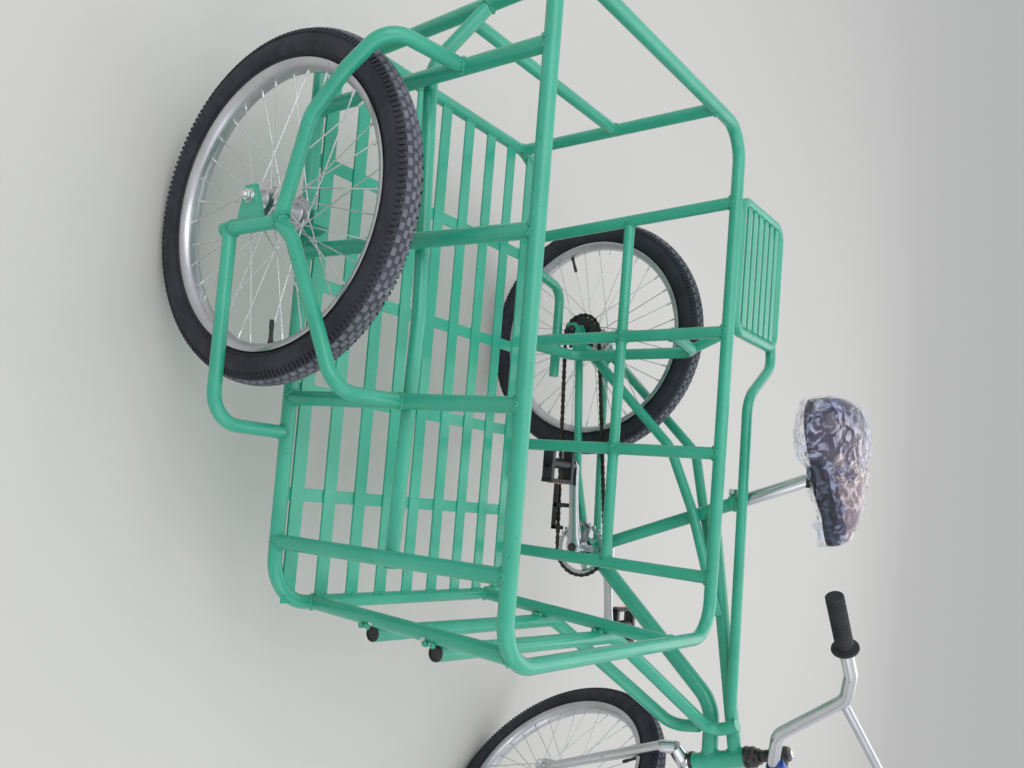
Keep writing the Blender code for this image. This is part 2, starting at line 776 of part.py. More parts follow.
def mid_rails():
    z = basket_z(MID_RAIL_SHARE)
    for i in range(1, len(INBOARD_POST_SHARES)):
        names = ("inboard_post_%d" % i, "inboard_post_%d" % (i + 1))
        butted_rail(names, z, "inboard_mid_rail_%d" % i)
    butted_rail([row[0] for row in REAR_POST_SHARES], z, "rear_mid_rail")
    # Outboard: one long rail along the inner side of the posts, its rear end turned up into a post.
    inset = TUBE_R + THIN_TUBE_R - WELD_BITE
    posts = ["outboard_post_%d" % (i + 1) for i in range(len(OUTBOARD_POST_SHARES))]
    first, last = post_point(posts[0], z), post_point(posts[-1], z)
    path = [post_point("rear_post_outboard", z + TUBE_R * 5),
            (first.x - TUBE_R * 2.5, first.y + inset, z - TUBE_R),
            ((first.x + last.x) / 2, first.y + inset, z + TUBE_R / 2),
            (last.x + TUBE_R * 1.3, last.y + inset, z - TUBE_R / 2)]
    rail = bent_tube(path, THIN_TUBE_R, TUBE_R * 6)
    spaces = [post_cutter(name) for name in posts + ["rear_post_outboard"]]
    keep(cut(rail, *spaces), "outboard_mid_rail", PAINT)


# Guard that carries the outer end of the sidecar wheel's axle

def above_tyre(x, z):
    # At least as high as z, and clear of the sidecar's tyre for a thin tube that crosses over it at x.
    past = TYRE_R ** 2 - (x - SIDE_WHEEL_X) ** 2
    return max(z, TYRE_R + math.sqrt(max(0.0, past)) + THIN_TUBE_R + GUARD_TYRE_GAP)


def strut_path(post, share, shares, joint):
    # From a post of the basket over or past the tyre, and down outside it to the joint.
    start = post_point(post, basket_z(share))
    start = post_point(post, above_tyre(start.x, start.z))
    path = [start]
    for along, down in shares:
        x = start.x + along * (joint.x - start.x)
        path.append(Vector((x, GUARD_Y, start.z + down * (joint.z - start.z))))
    path[1].y += THIN_TUBE_R * 0.4
    path[1].z = above_tyre(path[1].x, path[1].z)
    return path + [joint]


def wheel_guard():
    foot = Vector((SIDE_WHEEL_X + GUARD_POST_AHEAD, GUARD_Y, FLOOR_Z))
    joint = Vector((foot.x, GUARD_Y, TYRE_R + GUARD_JOINT_RISE))
    # Bottom rail, upright and dropout plate in one weldment.
    front_x = SIDE_WHEEL_X + TYRE_R + GUARD_FRONT_CLEARANCE
    low_path = [foot, Vector((front_x, GUARD_Y, FLOOR_Z)), Vector((front_x, FLOOR_OUTER_Y, FLOOR_Z))]
    lower = bent_tube(low_path, THIN_TUBE_R, GUARD_LOW_BEND)
    upright = rod(foot - UP * GUARD_FOOT, joint + UP * THIN_TUBE_R, THIN_TUBE_R)
    tab_place = Vector((SIDE_WHEEL_X, SIDE_AXLE.y - SIDE_HUB_HALF - DROPOUT_THICK / 2, TYRE_R))
    tab = plate(tab_outline(GUARD_TAB_SHARES, tab_place, GUARD_POST_AHEAD), DROPOUT_THICK, tab_place.y)
    hole = cutter(axle_bore(tab_place, DROPOUT_THICK / 2), "guard_axle_hole")
    frame = union(lower, upright, cut(tab, hole))
    spaces = [bpy.data.objects["floor_edge_space"], post_cutter("outboard_post_3")]
    keep(cut(frame, *spaces), "guard_lower_rail", PAINT)
    # Two struts from the basket's posts down to the upright.
    upright_space = cutter(rod(foot - UP * (GUARD_FOOT + CUT_OVERRUN), joint + UP * (THIN_TUBE_R + SEAT_GAP),
                               THIN_TUBE_R + SEAT_GAP), "upright_space")
    rear_path = strut_path("outboard_post_1", GUARD_REAR_SHARE, GUARD_REAR_SHARES, joint)
    front_path = strut_path("outboard_post_3", GUARD_FRONT_SHARE, GUARD_FRONT_SHARES, joint)
    rear = bent_tube(rear_path, THIN_TUBE_R, GUARD_STRUT_BEND)
    front = bent_tube(front_path, THIN_TUBE_R, GUARD_STRUT_BEND)
    rear_space = bent_tube(rear_path, THIN_TUBE_R + SEAT_GAP, GUARD_STRUT_BEND)
    cutter(rear_space, "rear_strut_space")
    keep(cut(rear, post_cutter("outboard_post_1"), upright_space), "guard_rear_strut", PAINT)
    keep(cut(front, post_cutter("outboard_post_3"), upright_space, rear_space), "guard_front_strut", PAINT)


# Arms from the basket's front to the head of the bicycle

def arm_path(share, inset, head_shares):
    # Along the front of both front posts, seated on them, and then to the head tube.
    z = basket_z(share)
    touch = TUBE_R + ARM_R - WELD_BITE
    outer = post_point("front_post_outboard", z)
    inner = post_point("front_post_inboard", z)
    slope = (inner.x - outer.x) / (inner.y - outer.y)
    path = []
    for y in (outer.y + inset, inner.y + ARM_R * 4):
        path.append(Vector((outer.x + touch + slope * (y - outer.y), y, z)))
    for ahead, up in head_shares:
        path.append(HEAD + Vector((ahead * HEAD_LENGTH, -ARM_HEAD_Y, up * HEAD_LENGTH)))
    return path


def arms():
    upper = arm_path(UPPER_ARM_SHARE, UPPER_ARM_INSET, UPPER_ARM_HEAD_SHARES)
    lower = arm_path(LOWER_ARM_SHARE, LOWER_ARM_INSET, LOWER_ARM_HEAD_SHARES)
    upper_space = cutter(bent_tube(upper, ARM_R + SEAT_GAP, ARM_BEND), "upper_arm_space")
    posts = [post_cutter("front_post_outboard"), post_cutter("front_post_inboard")]
    keep(cut(bent_tube(upper, ARM_R, ARM_BEND), *posts), "upper_arm", PAINT)
    keep(cut(bent_tube(lower, ARM_R, ARM_BEND), upper_space, *posts), "lower_arm", PAINT)


# Hoop and brace that hold the basket to the bicycle's rear axle

def axle_mounting():
    foot = Vector((HOOP_X - HOOP_FOOT_BACK, FLOOR_INNER_Y, FLOOR_Z + TUBE_R * 0.55))
    path = [post_point("inboard_post_2", basket_z(HOOP_POST_SHARE)),
            Vector((HOOP_X, HOOP_Y, basket_z(HOOP_TOP_SHARE))),
            Vector((HOOP_X, HOOP_Y, TYRE_R + HOOP_LOW_RISE)), foot]
    hoop = bent_tube(path, TUBE_R, HOOP_BEND)
    lug = plate(tab_outline(HOOP_TAB_SHARES, REAR_AXLE, HOOP_X), DROPOUT_THICK, HOOP_Y)
    middle = REAR_AXLE + ACROSS * HOOP_Y
    hole = cutter(axle_bore(middle, DROPOUT_THICK / 2), "hoop_axle_hole")
    hoop = union(hoop, cut(lug, hole))
    floor_space = bpy.data.objects["floor_edge_space"]
    keep(cut(hoop, post_cutter("inboard_post_2"), floor_space), "axle_hoop", PAINT)
    hoop_space = cutter(bent_tube(path, TUBE_R + SEAT_GAP, HOOP_BEND), "hoop_space")
    brace_y = HOOP_Y - BRACE_OUT
    brace_path = [(-BRACE_REAR, FLOOR_INNER_Y, FLOOR_Z), (-BRACE_BEND_REAR, brace_y, FLOOR_Z),
                  (BRACE_FRONT, brace_y, FLOOR_Z)]
    brace = bent_tube(brace_path, THIN_TUBE_R, HOOP_BEND)
    keep(cut(brace, floor_space, hoop_space), "axle_brace", PAINT)


# Bicycle frame

def on_head(obj):
    # Turns a shape from the Y axis onto the steering axis.
    turn = ACROSS.rotation_difference(HEAD_AXIS).to_matrix().to_4x4()
    obj.data.transform(Matrix.Translation(HEAD) @ turn)
    return obj


def head_tube():
    low = HEAD_CUP_HEIGHT - HEAD_BELOW
    high = HEAD_ABOVE - HEAD_CUP_HEIGHT
    bore = around(STEERER_R, STEERER_GAP, HUB_STEPS)
    profile = [(bore, -HEAD_BELOW), (HEAD_CUP_R, -HEAD_BELOW), (HEAD_CUP_R, low), (HEAD_TUBE_R, low),
               (HEAD_TUBE_R, high), (HEAD_CUP_R, high), (HEAD_CUP_R, HEAD_ABOVE), (bore, HEAD_ABOVE)]
    keep(on_head(turned(profile, HUB_STEPS, closed=True)), "head_tube", PAINT)
    space_r = around(HEAD_TUBE_R, SEAT_GAP, HUB_STEPS)
    space = [(0.0, -HEAD_LENGTH), (space_r, -HEAD_LENGTH), (space_r, HEAD_LENGTH), (0.0, HEAD_LENGTH)]
    return cutter(on_head(turned(space, HUB_STEPS, closed=False)), "head_space")


def seat_tube():
    shell = rod_across(BRACKET, BRACKET_SHELL_HALF, BRACKET_SHELL_R)
    clamp_top = SEAT_TOP - SEAT_LINE * SEAT_GAP * 3
    clamp = rod(clamp_top - SEAT_LINE * SEAT_CLAMP_HEIGHT, clamp_top, SEAT_CLAMP_R)
    upright = union(rod(BRACKET, SEAT_TOP, SEAT_TUBE_R), clamp)
    reach = BRACKET_SHELL_HALF + CUT_OVERRUN
    bore = cutter(rod_across(BRACKET, reach, around(SPINDLE_R, AXLE_GAP)), "bracket_bore")
    keep(cut(union(shell, upright), bore), "seat_tube", PAINT)
    shell_space = cutter(rod_across(BRACKET, reach, BRACKET_SHELL_R + SEAT_GAP), "shell_space")
    past_top = SEAT_TOP + SEAT_LINE * CUT_OVERRUN
    seat_space = cutter(rod(BRACKET, past_top, SEAT_TUBE_R + SEAT_GAP), "seat_tube_space")
    return shell_space, seat_space


def bicycle_frame():
    head_space = head_tube()
    shell_space, seat_space = seat_tube()
    down_path = [head_point(-DOWN_TUBE_DROP), HEAD - Vector((DOWN_TUBE_STRAIGHT, 0.0, DOWN_TUBE_DROP)),
                 BRACKET + Vector((BRACKET_SHELL_R * 0.5, 0.0, BRACKET_SHELL_R * 0.3))]
    down = bent_tube(down_path, DOWN_TUBE_R, DOWN_TUBE_BEND)
    keep(cut(down, head_space, shell_space, seat_space), "down_tube", PAINT)
    keep(cut(rod(TOP_TUBE_REAR, TOP_TUBE_FRONT, TOP_TUBE_R), head_space, seat_space), "top_tube", PAINT)
    cutter(rod(TOP_TUBE_REAR, TOP_TUBE_FRONT, TOP_TUBE_R + SEAT_GAP), "top_tube_space")
    for side, name in ((-1, "right"), (1, "left")):
        rear_stays(side, name, shell_space)


def rear_stays(side, name, shell_space):
    drop_y = side * (REAR_HUB_HALF + DROPOUT_THICK / 2)
    outline = tab_outline(DROPOUT_SHARES, REAR_AXLE)
    dropout = plate(outline, DROPOUT_THICK, drop_y)
    points = []
    for (along, up), y in zip(CHAIN_STAY_SHARES, (drop_y, side * STAY_HALF_GAP)):
        points.append(Vector((along * BRACKET_X, y, TYRE_R + up * BRACKET_RISE)))
    points.append(BRACKET + ACROSS * side * BRACKET_SHELL_HALF * CHAIN_STAY_END_SHARE)
    stay = bent_tube(points, STAY_R, STAY_BEND)
    hole = cutter(axle_bore(REAR_AXLE, REAR_HUB_HALF + DROPOUT_THICK), "rear_axle_hole_" + name)
    keep(cut(union(stay, dropout), hole, shell_space), "chain_stay_" + name, PAINT)
    # The long stay rises from the dropout, passes the seat tube and ends on the flank of the top tube.
    upper = []
    for along, down, out in LONG_STAY_TOP_SHARES:
        place = TOP_TUBE_REAR.lerp(TOP_TUBE_FRONT, along) - UP * down * TOP_TUBE_R
        upper.append(place + ACROSS * side * out * LONG_STAY_HALF_GAP)
    lower = []
    for along, up in LONG_STAY_LOW_SHARES:
        place = Vector((along * upper[0].x, side * LONG_STAY_HALF_GAP, TYRE_R + up * (upper[0].z - TYRE_R)))
        lower.append(place)
    long_stay = bent_tube(lower + upper, LONG_STAY_R, STAY_BEND)
    spaces = [bpy.data.objects["top_tube_space"]]
    half = box((BRACKET_X, -side * LONG_STAY_HALF_GAP, RACK_Z),
               (RACK_Z * 2, LONG_STAY_HALF_GAP * 2 - SEAT_GAP, RACK_Z * 2))
    spaces.append(cutter(half, "middle_space_" + name))
    around = plate(grown(outline, SEAT_GAP * 2), DROPOUT_THICK + SEAT_GAP * 2, drop_y)
    spaces.append(cutter(around, "dropout_space_" + name))
    stay_space = bent_tube(points, STAY_R + SEAT_GAP, STAY_BEND)
    spaces.append(cutter(stay_space, "chain_stay_space_" + name))
    keep(cut(long_stay, *spaces), "long_stay_" + name, PAINT)


# Rack and its rail

def rack():
    half = RACK_WIDTH / 2
    corners = [(RACK_REAR_X, half, RACK_Z), (RACK_FRONT_X, half, RACK_Z), (RACK_FRONT_X, -half, RACK_Z),
               (RACK_REAR_X, -half, RACK_Z)]
    loop = bent_tube(corners, THIN_TUBE_R, RACK_CORNER_R, closed=True)
    pitch = RACK_WIDTH / (RACK_SLATS + 1)
    slats = []
    for i in range(RACK_SLATS):
        middle = (RACK_REAR_X + RACK_LENGTH / 2, -half + pitch * (i + 1), RACK_Z + THIN_TUBE_R / 2)
        slats.append(box(middle, (RACK_LENGTH, pitch * RACK_SLAT_SHARE, SLAT_THICK)))
    keep(union(loop, joined(slats)), "rack_platform", PAINT)
    space = bent_tube(corners, THIN_TUBE_R + SEAT_GAP, RACK_CORNER_R, closed=True)
    rack_space = cutter(space, "rack_space")
    # The rail leaves the rack's left corner, passes right of the seat post and ends on the upper arm.
    beside = -(SEAT_TUBE_R + THIN_TUBE_R + SEAT_GAP * 2)
    end = HEAD + Vector((UPPER_ARM_HEAD_SHARES[1][0] * HEAD_LENGTH, beside, THIN_TUBE_R * 2.2))
    over_seat = SEAT_TOP.z + THIN_TUBE_R * 1.1
    path = []
    for along, out in RACK_RAIL_SHARES:
        path.append(Vector((RACK_FRONT_X + along * (end.x - RACK_FRONT_X), out * half, RACK_Z)))
    path[1].z += THIN_TUBE_R * 0.4
    path.append(Vector((RACK_FRONT_X + RACK_RAIL_SEAT_SHARE * (end.x - RACK_FRONT_X), beside, over_seat)))
    path.append(end)
    rail = bent_tube(path, THIN_TUBE_R, RACK_RAIL_BEND)
    spaces = [rack_space, bpy.data.objects["upper_arm_space"], bpy.data.objects["top_tube_space"]]
    keep(cut(rail, *spaces), "rack_rail", PAINT)
    hoop_top = Vector((HOOP_X, HOOP_Y, basket_z(HOOP_TOP_SHARE) - HOOP_BEND * 0.6))
    strut = rod((RACK_FRONT_X - THIN_TUBE_R * 0.4, -half * RACK_STRUT_SHARE, RACK_Z), hoop_top, THIN_TUBE_R)
    keep(cut(strut, rack_space, bpy.data.objects["hoop_space"]), "rack_strut", PAINT)


# Saddle

def saddle():
    low = SEAT_TOP.z + SADDLE_RISE
    post_top = SEAT_TOP + SEAT_LINE * ((low + POST_R - SEAT_TOP.z) / SEAT_LINE.z)
    middle = Vector((post_top.x, 0.0, low))
    tilt = Matrix.Translation(middle) @ Matrix.Rotation(-SADDLE_TILT, 4, "Y")
    above = box((0.0, 0.0, SADDLE_THICK / 2 - SEAT_GAP), (SADDLE_LENGTH, SADDLE_WIDTH, SADDLE_THICK))
    above.data.transform(tilt)
    post = rod(SEAT_TOP + SEAT_LINE * SEAT_GAP, post_top, POST_R)
    keep(cut(post, cutter(above, "saddle_space")), "seat_post", BRIGHT)
    bm = bmesh.new()
    rings = []
    for share, width_share, height_share in SADDLE_SHARES:
        row = []
        for k in range(SADDLE_RING):
            angle = 2 * math.pi * k / SADDLE_RING
            y = SADDLE_WIDTH / 2 * width_share * math.cos(angle)
            z = SADDLE_THICK * height_share * max(0.0, math.sin(angle))
            row.append(bm.verts.new(((share - 0.5) * SADDLE_LENGTH, y, z)))
        rings.append(row)
    for a, b in zip(rings, rings[1:]):
        for k in range(SADDLE_RING):
            n = (k + 1) % SADDLE_RING
            bm.faces.new((a[k], a[n], b[n], b[k]))
    bm.faces.new(rings[0])
    bm.faces.new(list(reversed(rings[-1])))
    bmesh.ops.recalc_face_normals(bm, faces=bm.faces)
    mesh = bpy.data.meshes.new("saddle")
    bm.to_mesh(mesh)
    bm.free()
    mesh.transform(tilt)
    keep(loose("saddle", mesh), "saddle", VINYL)


# Wheels

def wheel_tyre():
    return turned(mirrored(tyre_section()), WHEEL_STEPS, closed=True)


def wheel_hub(hub_half, flange):
    end = hub_half - HUB_END_CLEARANCE
    thick = HUB_FLANGE_THICK / 2
    bore = around(AXLE_R, AXLE_GAP, HUB_STEPS)
    half = [(bore, end), (HUB_NECK_R, end), (HUB_NECK_R, flange + thick), (HUB_FLANGE_R, flange + thick),
            (HUB_FLANGE_R, flange - thick), (HUB_SHELL_R, flange - thick)]
    return turned(mirrored(half), HUB_STEPS, closed=True)


def wheel_rim(hub_half):
    # Rim, hub and spokes in one piece: each spoke leads or trails and crosses three of its side.
    rim = [(RIM_R - deep * RIM_DEPTH, wide * RIM_HALF_WIDTH) for deep, wide in RIM_SHARES]
    flange = hub_half * FLANGE_SHARE
    spokes = []
    step = math.pi / SPOKE_PAIRS
    head_r = HUB_FLANGE_R - HUB_FLANGE_THICK
    reach = RIM_R - RIM_DEPTH * 0.6
    for side in (1, -1):
        shift = 0.0 if side > 0 else step / 2
        for k in range(2 * SPOKE_PAIRS):
            lead = 1 if k % 2 == 0 else -1
            hub_angle = step * k + shift
            rim_angle = hub_angle + lead * 3 * step
            y = side * (flange + lead * SPOKE_STAGGER)
            start = (head_r * math.cos(hub_angle), y, head_r * math.sin(hub_angle))
            stop = (reach * math.cos(rim_angle), 0.0, reach * math.sin(rim_angle))
            spokes.append(rod(start, stop, SPOKE_R, SPOKE_SIDES))
    ring = turned(mirrored(rim), WHEEL_STEPS, closed=True)
    return union(joined([ring, wheel_hub(hub_half, flange)]), joined(spokes))


def axle(first, last, nuts):
    # A plain axle from first to last along Y, with nuts given as (start, end) in rising order.
    profile = [(0.0, first), (AXLE_R, first)]
    for start, end in nuts:
        low, high = start + SEAT_GAP, end - SEAT_GAP
        profile += [(AXLE_R, low), (NUT_R, low), (NUT_R, high), (AXLE_R, high)]
    profile += [(AXLE_R, last), (0.0, last)]
    return turned(profile, HUB_STEPS, closed=False)


def wheels(home, steering):
    rear = carrier("rear_wheel_axis", REAR_AXLE, home)
    side = carrier("sidecar_wheel_axis", SIDE_AXLE, home)
    front = carrier("front_wheel_axis", FRONT_AXLE, steering)
    for name, place, half, holder in (("rear", REAR_AXLE, REAR_HUB_HALF, rear),
                                      ("sidecar", SIDE_AXLE, SIDE_HUB_HALF, side),
                                      ("front", FRONT_AXLE, FRONT_HUB_HALF, front)):
        on_axis(keep(moved(wheel_tyre(), place), name + "_tyre", RUBBER), holder)
        on_axis(keep(moved(wheel_rim(half), place), name + "_wheel_rim", BRIGHT), holder)
    over = NUT_LENGTH + AXLE_END
    stay_face = REAR_HUB_HALF + DROPOUT_THICK
    hoop_inner = HOOP_Y + DROPOUT_THICK / 2
    hoop_outer = HOOP_Y - DROPOUT_THICK / 2
    rear_nuts = ((hoop_outer - NUT_LENGTH, hoop_outer), (hoop_inner, -stay_face),
                 (stay_face, stay_face + NUT_LENGTH))
    keep(moved(axle(hoop_outer - over, stay_face + over, rear_nuts), REAR_AXLE), "rear_axle", DARK_STEEL)
    tab_face = -(SIDE_HUB_HALF + DROPOUT_THICK)
    side_nuts = ((tab_face - NUT_LENGTH, tab_face),)
    side_axle = axle(tab_face - over, SIDE_HUB_HALF + SOCKET_DEPTH * 0.9, side_nuts)
    keep(moved(side_axle, SIDE_AXLE), "sidecar_axle", DARK_STEEL)
    fork_face = FRONT_HUB_HALF + DROPOUT_THICK
    fork_nuts = ((-fork_face - NUT_LENGTH, -fork_face), (fork_face, fork_face + NUT_LENGTH))
    front_axle = axle(-fork_face - over, fork_face + over, fork_nuts)
    on_axis(keep(moved(front_axle, FRONT_AXLE), "front_axle", DARK_STEEL), steering)
    bore = rod_across(ACROSS * CHAIN_LINE_Y, RING_THICK + CUT_OVERRUN, around(HUB_NECK_R, SEAT_GAP))
    sprocket = cut(toothed_plate(SPROCKET_TEETH), cutter(bore, "sprocket_bore"))
    on_axis(keep(moved(sprocket, REAR_AXLE), "rear_sprocket", DARK_STEEL), rear)


# Drive

def pitch_radius(teeth):
    return CHAIN_PITCH / (2 * math.sin(math.pi / teeth))


def toothed_plate(teeth):
    root = pitch_radius(teeth) - TOOTH_HEIGHT
    outline = []
    for i in range(teeth):
        for share, height in TOOTH_SHARES:
            angle = 2 * math.pi * (i + share) / teeth
            radius = root + height * TOOTH_HEIGHT
            outline.append((radius * math.cos(angle), radius * math.sin(angle)))
    return plate(outline, RING_THICK, CHAIN_LINE_Y)


def chain_loop(extra):
    # The chain's line round both toothed wheels, moved outwards by extra.
    span = BRACKET - REAR_AXLE
    tilt = math.atan2(span.z, span.x)
    ring_r, sprocket_r = pitch_radius(RING_TEETH), pitch_radius(SPROCKET_TEETH)
    lift = math.asin((ring_r - sprocket_r) / span.length)
    start = tilt + math.pi / 2 + lift
    points = []
    for centre, radius, first, sweep in ((BRACKET, ring_r, start, -(math.pi + 2 * lift)),
                                         (REAR_AXLE, sprocket_r, start - (math.pi + 2 * lift),
                                          -(math.pi - 2 * lift))):
        for k in range(CHAIN_ARC_STEPS + 1):
            angle = first + sweep * k / CHAIN_ARC_STEPS
            points.append((centre.x + (radius + extra) * math.cos(angle),
                           centre.z + (radius + extra) * math.sin(angle)))
    return points


def chain():
    middle = CHAIN_HALF_HEIGHT + SEAT_GAP * 4
    outer = plate(chain_loop(middle + CHAIN_HALF_HEIGHT), CHAIN_HALF_WIDTH * 2, CHAIN_LINE_Y)
    inner = plate(chain_loop(middle - CHAIN_HALF_HEIGHT), CHAIN_HALF_WIDTH * 4, CHAIN_LINE_Y)
    keep(cut(outer, cutter(inner, "chain_inside")), "chain", DARK_STEEL)


def crank_arm(side, angle):
    outline = []
    for end, base, radius in ((0.0, math.pi / 2, CRANK_HALF_WIDTH),
                              (CRANK_LENGTH, -math.pi / 2, CRANK_HALF_WIDTH * CRANK_TIP_SHARE)):
        for k in range(CRANK_ARC_STEPS + 1):
            turn = base + math.pi * k / CRANK_ARC_STEPS
            outline.append((end + radius * math.cos(turn), radius * math.sin(turn)))
    arm = plate(outline, CRANK_HALF_THICK * 2, side * (CRANK_Y + CRANK_HALF_THICK))
    arm.data.transform(Matrix.Rotation(-angle, 4, "Y"))
    return arm


def crankset():
    windows = []
    for k in range(RING_WINDOWS):
        angle = 2 * math.pi * k / RING_WINDOWS
        across, up = RING_WINDOW_CIRCLE * math.cos(angle), RING_WINDOW_CIRCLE * math.sin(angle)
        centre = Vector((across, CHAIN_LINE_Y, up))
        windows.append(rod_across(centre, RING_THICK + CUT_OVERRUN, RING_WINDOW_R, ROD_SIDES))
    ring = cut(toothed_plate(RING_TEETH), cutter(joined(windows), "ring_windows"))
    spindle = rod_across(Vector(), CRANK_Y + CRANK_HALF_THICK, SPINDLE_R)
    boss_start = ACROSS * (CHAIN_LINE_Y - RING_THICK / 3)
    boss = rod(boss_start, -ACROSS * (CRANK_Y + RING_THICK / 3), RING_BOSS_R, BORE_SIDES)
    return union(ring, boss, spindle, crank_arm(-1, CRANK_ANGLE), crank_arm(1, CRANK_ANGLE - math.pi))


def drive(home):
    crank = carrier("crank_axis", BRACKET, home)
    on_axis(keep(moved(crankset(), BRACKET), "crankset", BRIGHT), crank)
    for side, name, angle in ((-1, "right", CRANK_ANGLE), (1, "left", CRANK_ANGLE - math.pi)):
        place = BRACKET + Vector((CRANK_LENGTH * math.cos(angle), 0.0, CRANK_LENGTH * math.sin(angle)))
        holder = carrier("pedal_axis_" + name, place, crank)
        on_axis(keep(moved(pedal(side, name), place), "pedal_" + name, PLASTIC), holder)


def pedal(side, name):
    start = CRANK_Y + 2 * CRANK_HALF_THICK + SEAT_GAP
    middle = ACROSS * side * (start + PEDAL_PIN_SHOWN + PEDAL_LENGTH / 2)
    pin = rod(ACROSS * side * start, ACROSS * side * (start + PEDAL_PIN_SHOWN + PEDAL_LENGTH), PEDAL_PIN_R)
    block = box(middle, (PEDAL_HALF_DEPTH * 2, PEDAL_LENGTH, PEDAL_HALF_HEIGHT * 2))
    from_middle, wide, long = PEDAL_WINDOW_SHARES
    windows = []
    for sign in (1, -1):
        centre = middle + Vector((sign * PEDAL_HALF_DEPTH * from_middle, 0.0, 0.0))
        size = (PEDAL_HALF_DEPTH * wide, PEDAL_LENGTH * long, PEDAL_HALF_HEIGHT * 2 + CUT_OVERRUN)
        windows.append(box(centre, size))
    return union(cut(block, cutter(joined(windows), "pedal_windows_" + name)), pin)


# Steering

def fork(steering):
    crown = head_point(-CROWN_DROP)
    steerer = rod(crown, head_point(HEAD_ABOVE + STEM_GAP * 8), STEERER_R, BORE_SIDES)
    pieces = [rod(crown, head_point(-HEAD_BELOW - STEM_GAP * 2), HEAD_CUP_R, BORE_SIDES),
              rod_across(crown, BLADE_TOP_Y + SEAT_GAP * 13, CROWN_R)]
    for side in (-1, 1):
        y = side * (FRONT_HUB_HALF + DROPOUT_THICK / 2)
        top = crown + ACROSS * side * BLADE_TOP_Y
        shoulder = top + Vector((FORK_SHOULDER, side * FORK_SHOULDER, -FORK_SHOULDER_DROP))
        low = FRONT_AXLE + Vector((-FORK_TIP_BACK, y, FORK_TIP_RISE))
        pieces.append(bent_tube([top, shoulder, low], BLADE_R, FORK_BEND))
        pieces.append(plate(tab_outline(FORK_TAB_SHARES, FRONT_AXLE), DROPOUT_THICK, y))
    hole = cutter(axle_bore(FRONT_AXLE, FRONT_HUB_HALF + DROPOUT_THICK + BLADE_R), "fork_axle_hole")
    on_axis(keep(cut(union(steerer, *pieces), hole), "fork", BRIGHT), steering)


def handlebar_path():
    halves = []
    for side in (-1, 1):
        halves.append([head_point(BAR_UP + up * BAR_RISE, BAR_REACH, side * out * BAR_HALF_WIDTH)
                       for out, up in BAR_SHARES])
    return list(reversed(halves[0])) + halves[1]


def handlebar(steering):
    path = handlebar_path()
    bar_space = cutter(bent_tube(path, BAR_R + SEAT_GAP, BAR_BEND), "bar_space")
    clamp_up = BAR_UP + BAR_SHARES[0][1] * BAR_RISE
    clamp_centre = head_point(clamp_up, BAR_REACH)
    post = rod(head_point(HEAD_ABOVE + STEM_GAP * 9), head_point(STEM_TOP), STEM_R, BORE_SIDES)
    neck = rod(head_point(clamp_up), clamp_centre, NECK_R)
    clamp = rod_across(clamp_centre, STEM_CLAMP_HALF, STEM_CLAMP_R)
    on_axis(keep(cut(union(post, neck, clamp), bar_space), "stem", PLASTIC), steering)
    ends = [path[3].lerp(path[2], CROSSBAR_LEG_SHARE), path[-4].lerp(path[-3], CROSSBAR_LEG_SHARE)]
    crossbar = rod(*ends, CROSSBAR_R)
    on_axis(keep(union(bent_tube(path, BAR_R, BAR_BEND), crossbar), "handlebar", BRIGHT), steering)
    for name, end, before in (("right", path[0], path[1]), ("left", path[-1], path[-2])):
        on_axis(keep(grip(name, end, before), "grip_" + name, PLASTIC), steering)


def grip(name, end, before):
    inward = (before - end).normalized()
    inner = end + inward * GRIP_LENGTH
    body = rod(end - inward * GRIP_END, inner, GRIP_R, BORE_SIDES)
    flange_start = inner - inward * GRIP_FLANGE_THICK / 3
    flange = rod(flange_start, flange_start + inward * GRIP_FLANGE_THICK, GRIP_FLANGE_R, BORE_SIDES)
    past = inner + inward * (GRIP_FLANGE_THICK + CUT_OVERRUN)
    space = rod(end - inward * SEAT_GAP, past, around(BAR_R, SEAT_GAP), BORE_SIDES)
    return cut(union(body, flange), cutter(space, "grip_bore_" + name))


def stand_on_origin(home):
    # Moves the whole so that the origin lies on the ground under the middle of its extents.
    bpy.context.view_layer.update()
    low = Vector((math.inf, math.inf, math.inf))
    high = -low
    for obj in PARTS.objects:
        for vertex in obj.data.vertices:
            place = obj.matrix_world @ vertex.co
            low = Vector(map(min, low, place))
            high = Vector(map(max, high, place))
    home.location = (-(low.x + high.x) / 2, -(low.y + high.y) / 2, -low.z)
    bpy.context.view_layer.update()


def build():
    home = bpy.data.objects.new("rickshaw_origin", None)
    home["home"] = [0.0, 0.0, 0.0]
    bpy.context.scene.collection.objects.link(home)
    basket()
    mid_rails()
    wheel_guard()
    arms()
    axle_mounting()
    bicycle_frame()
    rack()
    saddle()
    chain()
    steering = carrier("steering_axis", HEAD, home)
    fork(steering)
    handlebar(steering)
    wheels(home, steering)
    drive(home)
    for obj in PARTS.objects:
        if obj.parent is None:
            obj.parent = home
    steering.rotation_mode = "QUATERNION"
    steering.rotation_quaternion = Matrix.Rotation(PARKED_STEER, 3, HEAD_AXIS).to_quaternion()
    stand_on_origin(home)


build()
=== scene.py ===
"""The looks of the cycle rickshaw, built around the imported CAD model.

All places are in metres in the modelling frame of the bicycle: X forward, Y to the rider's left, Z up,
ground at zero and the rear bicycle wheel above the origin. at() carries them into the row frame.
"""
import json
import random
from math import asin, atan2, copysign, cos, pi, radians, sin, sqrt, tan

import bpy
from mathutils import Matrix, Vector, noise


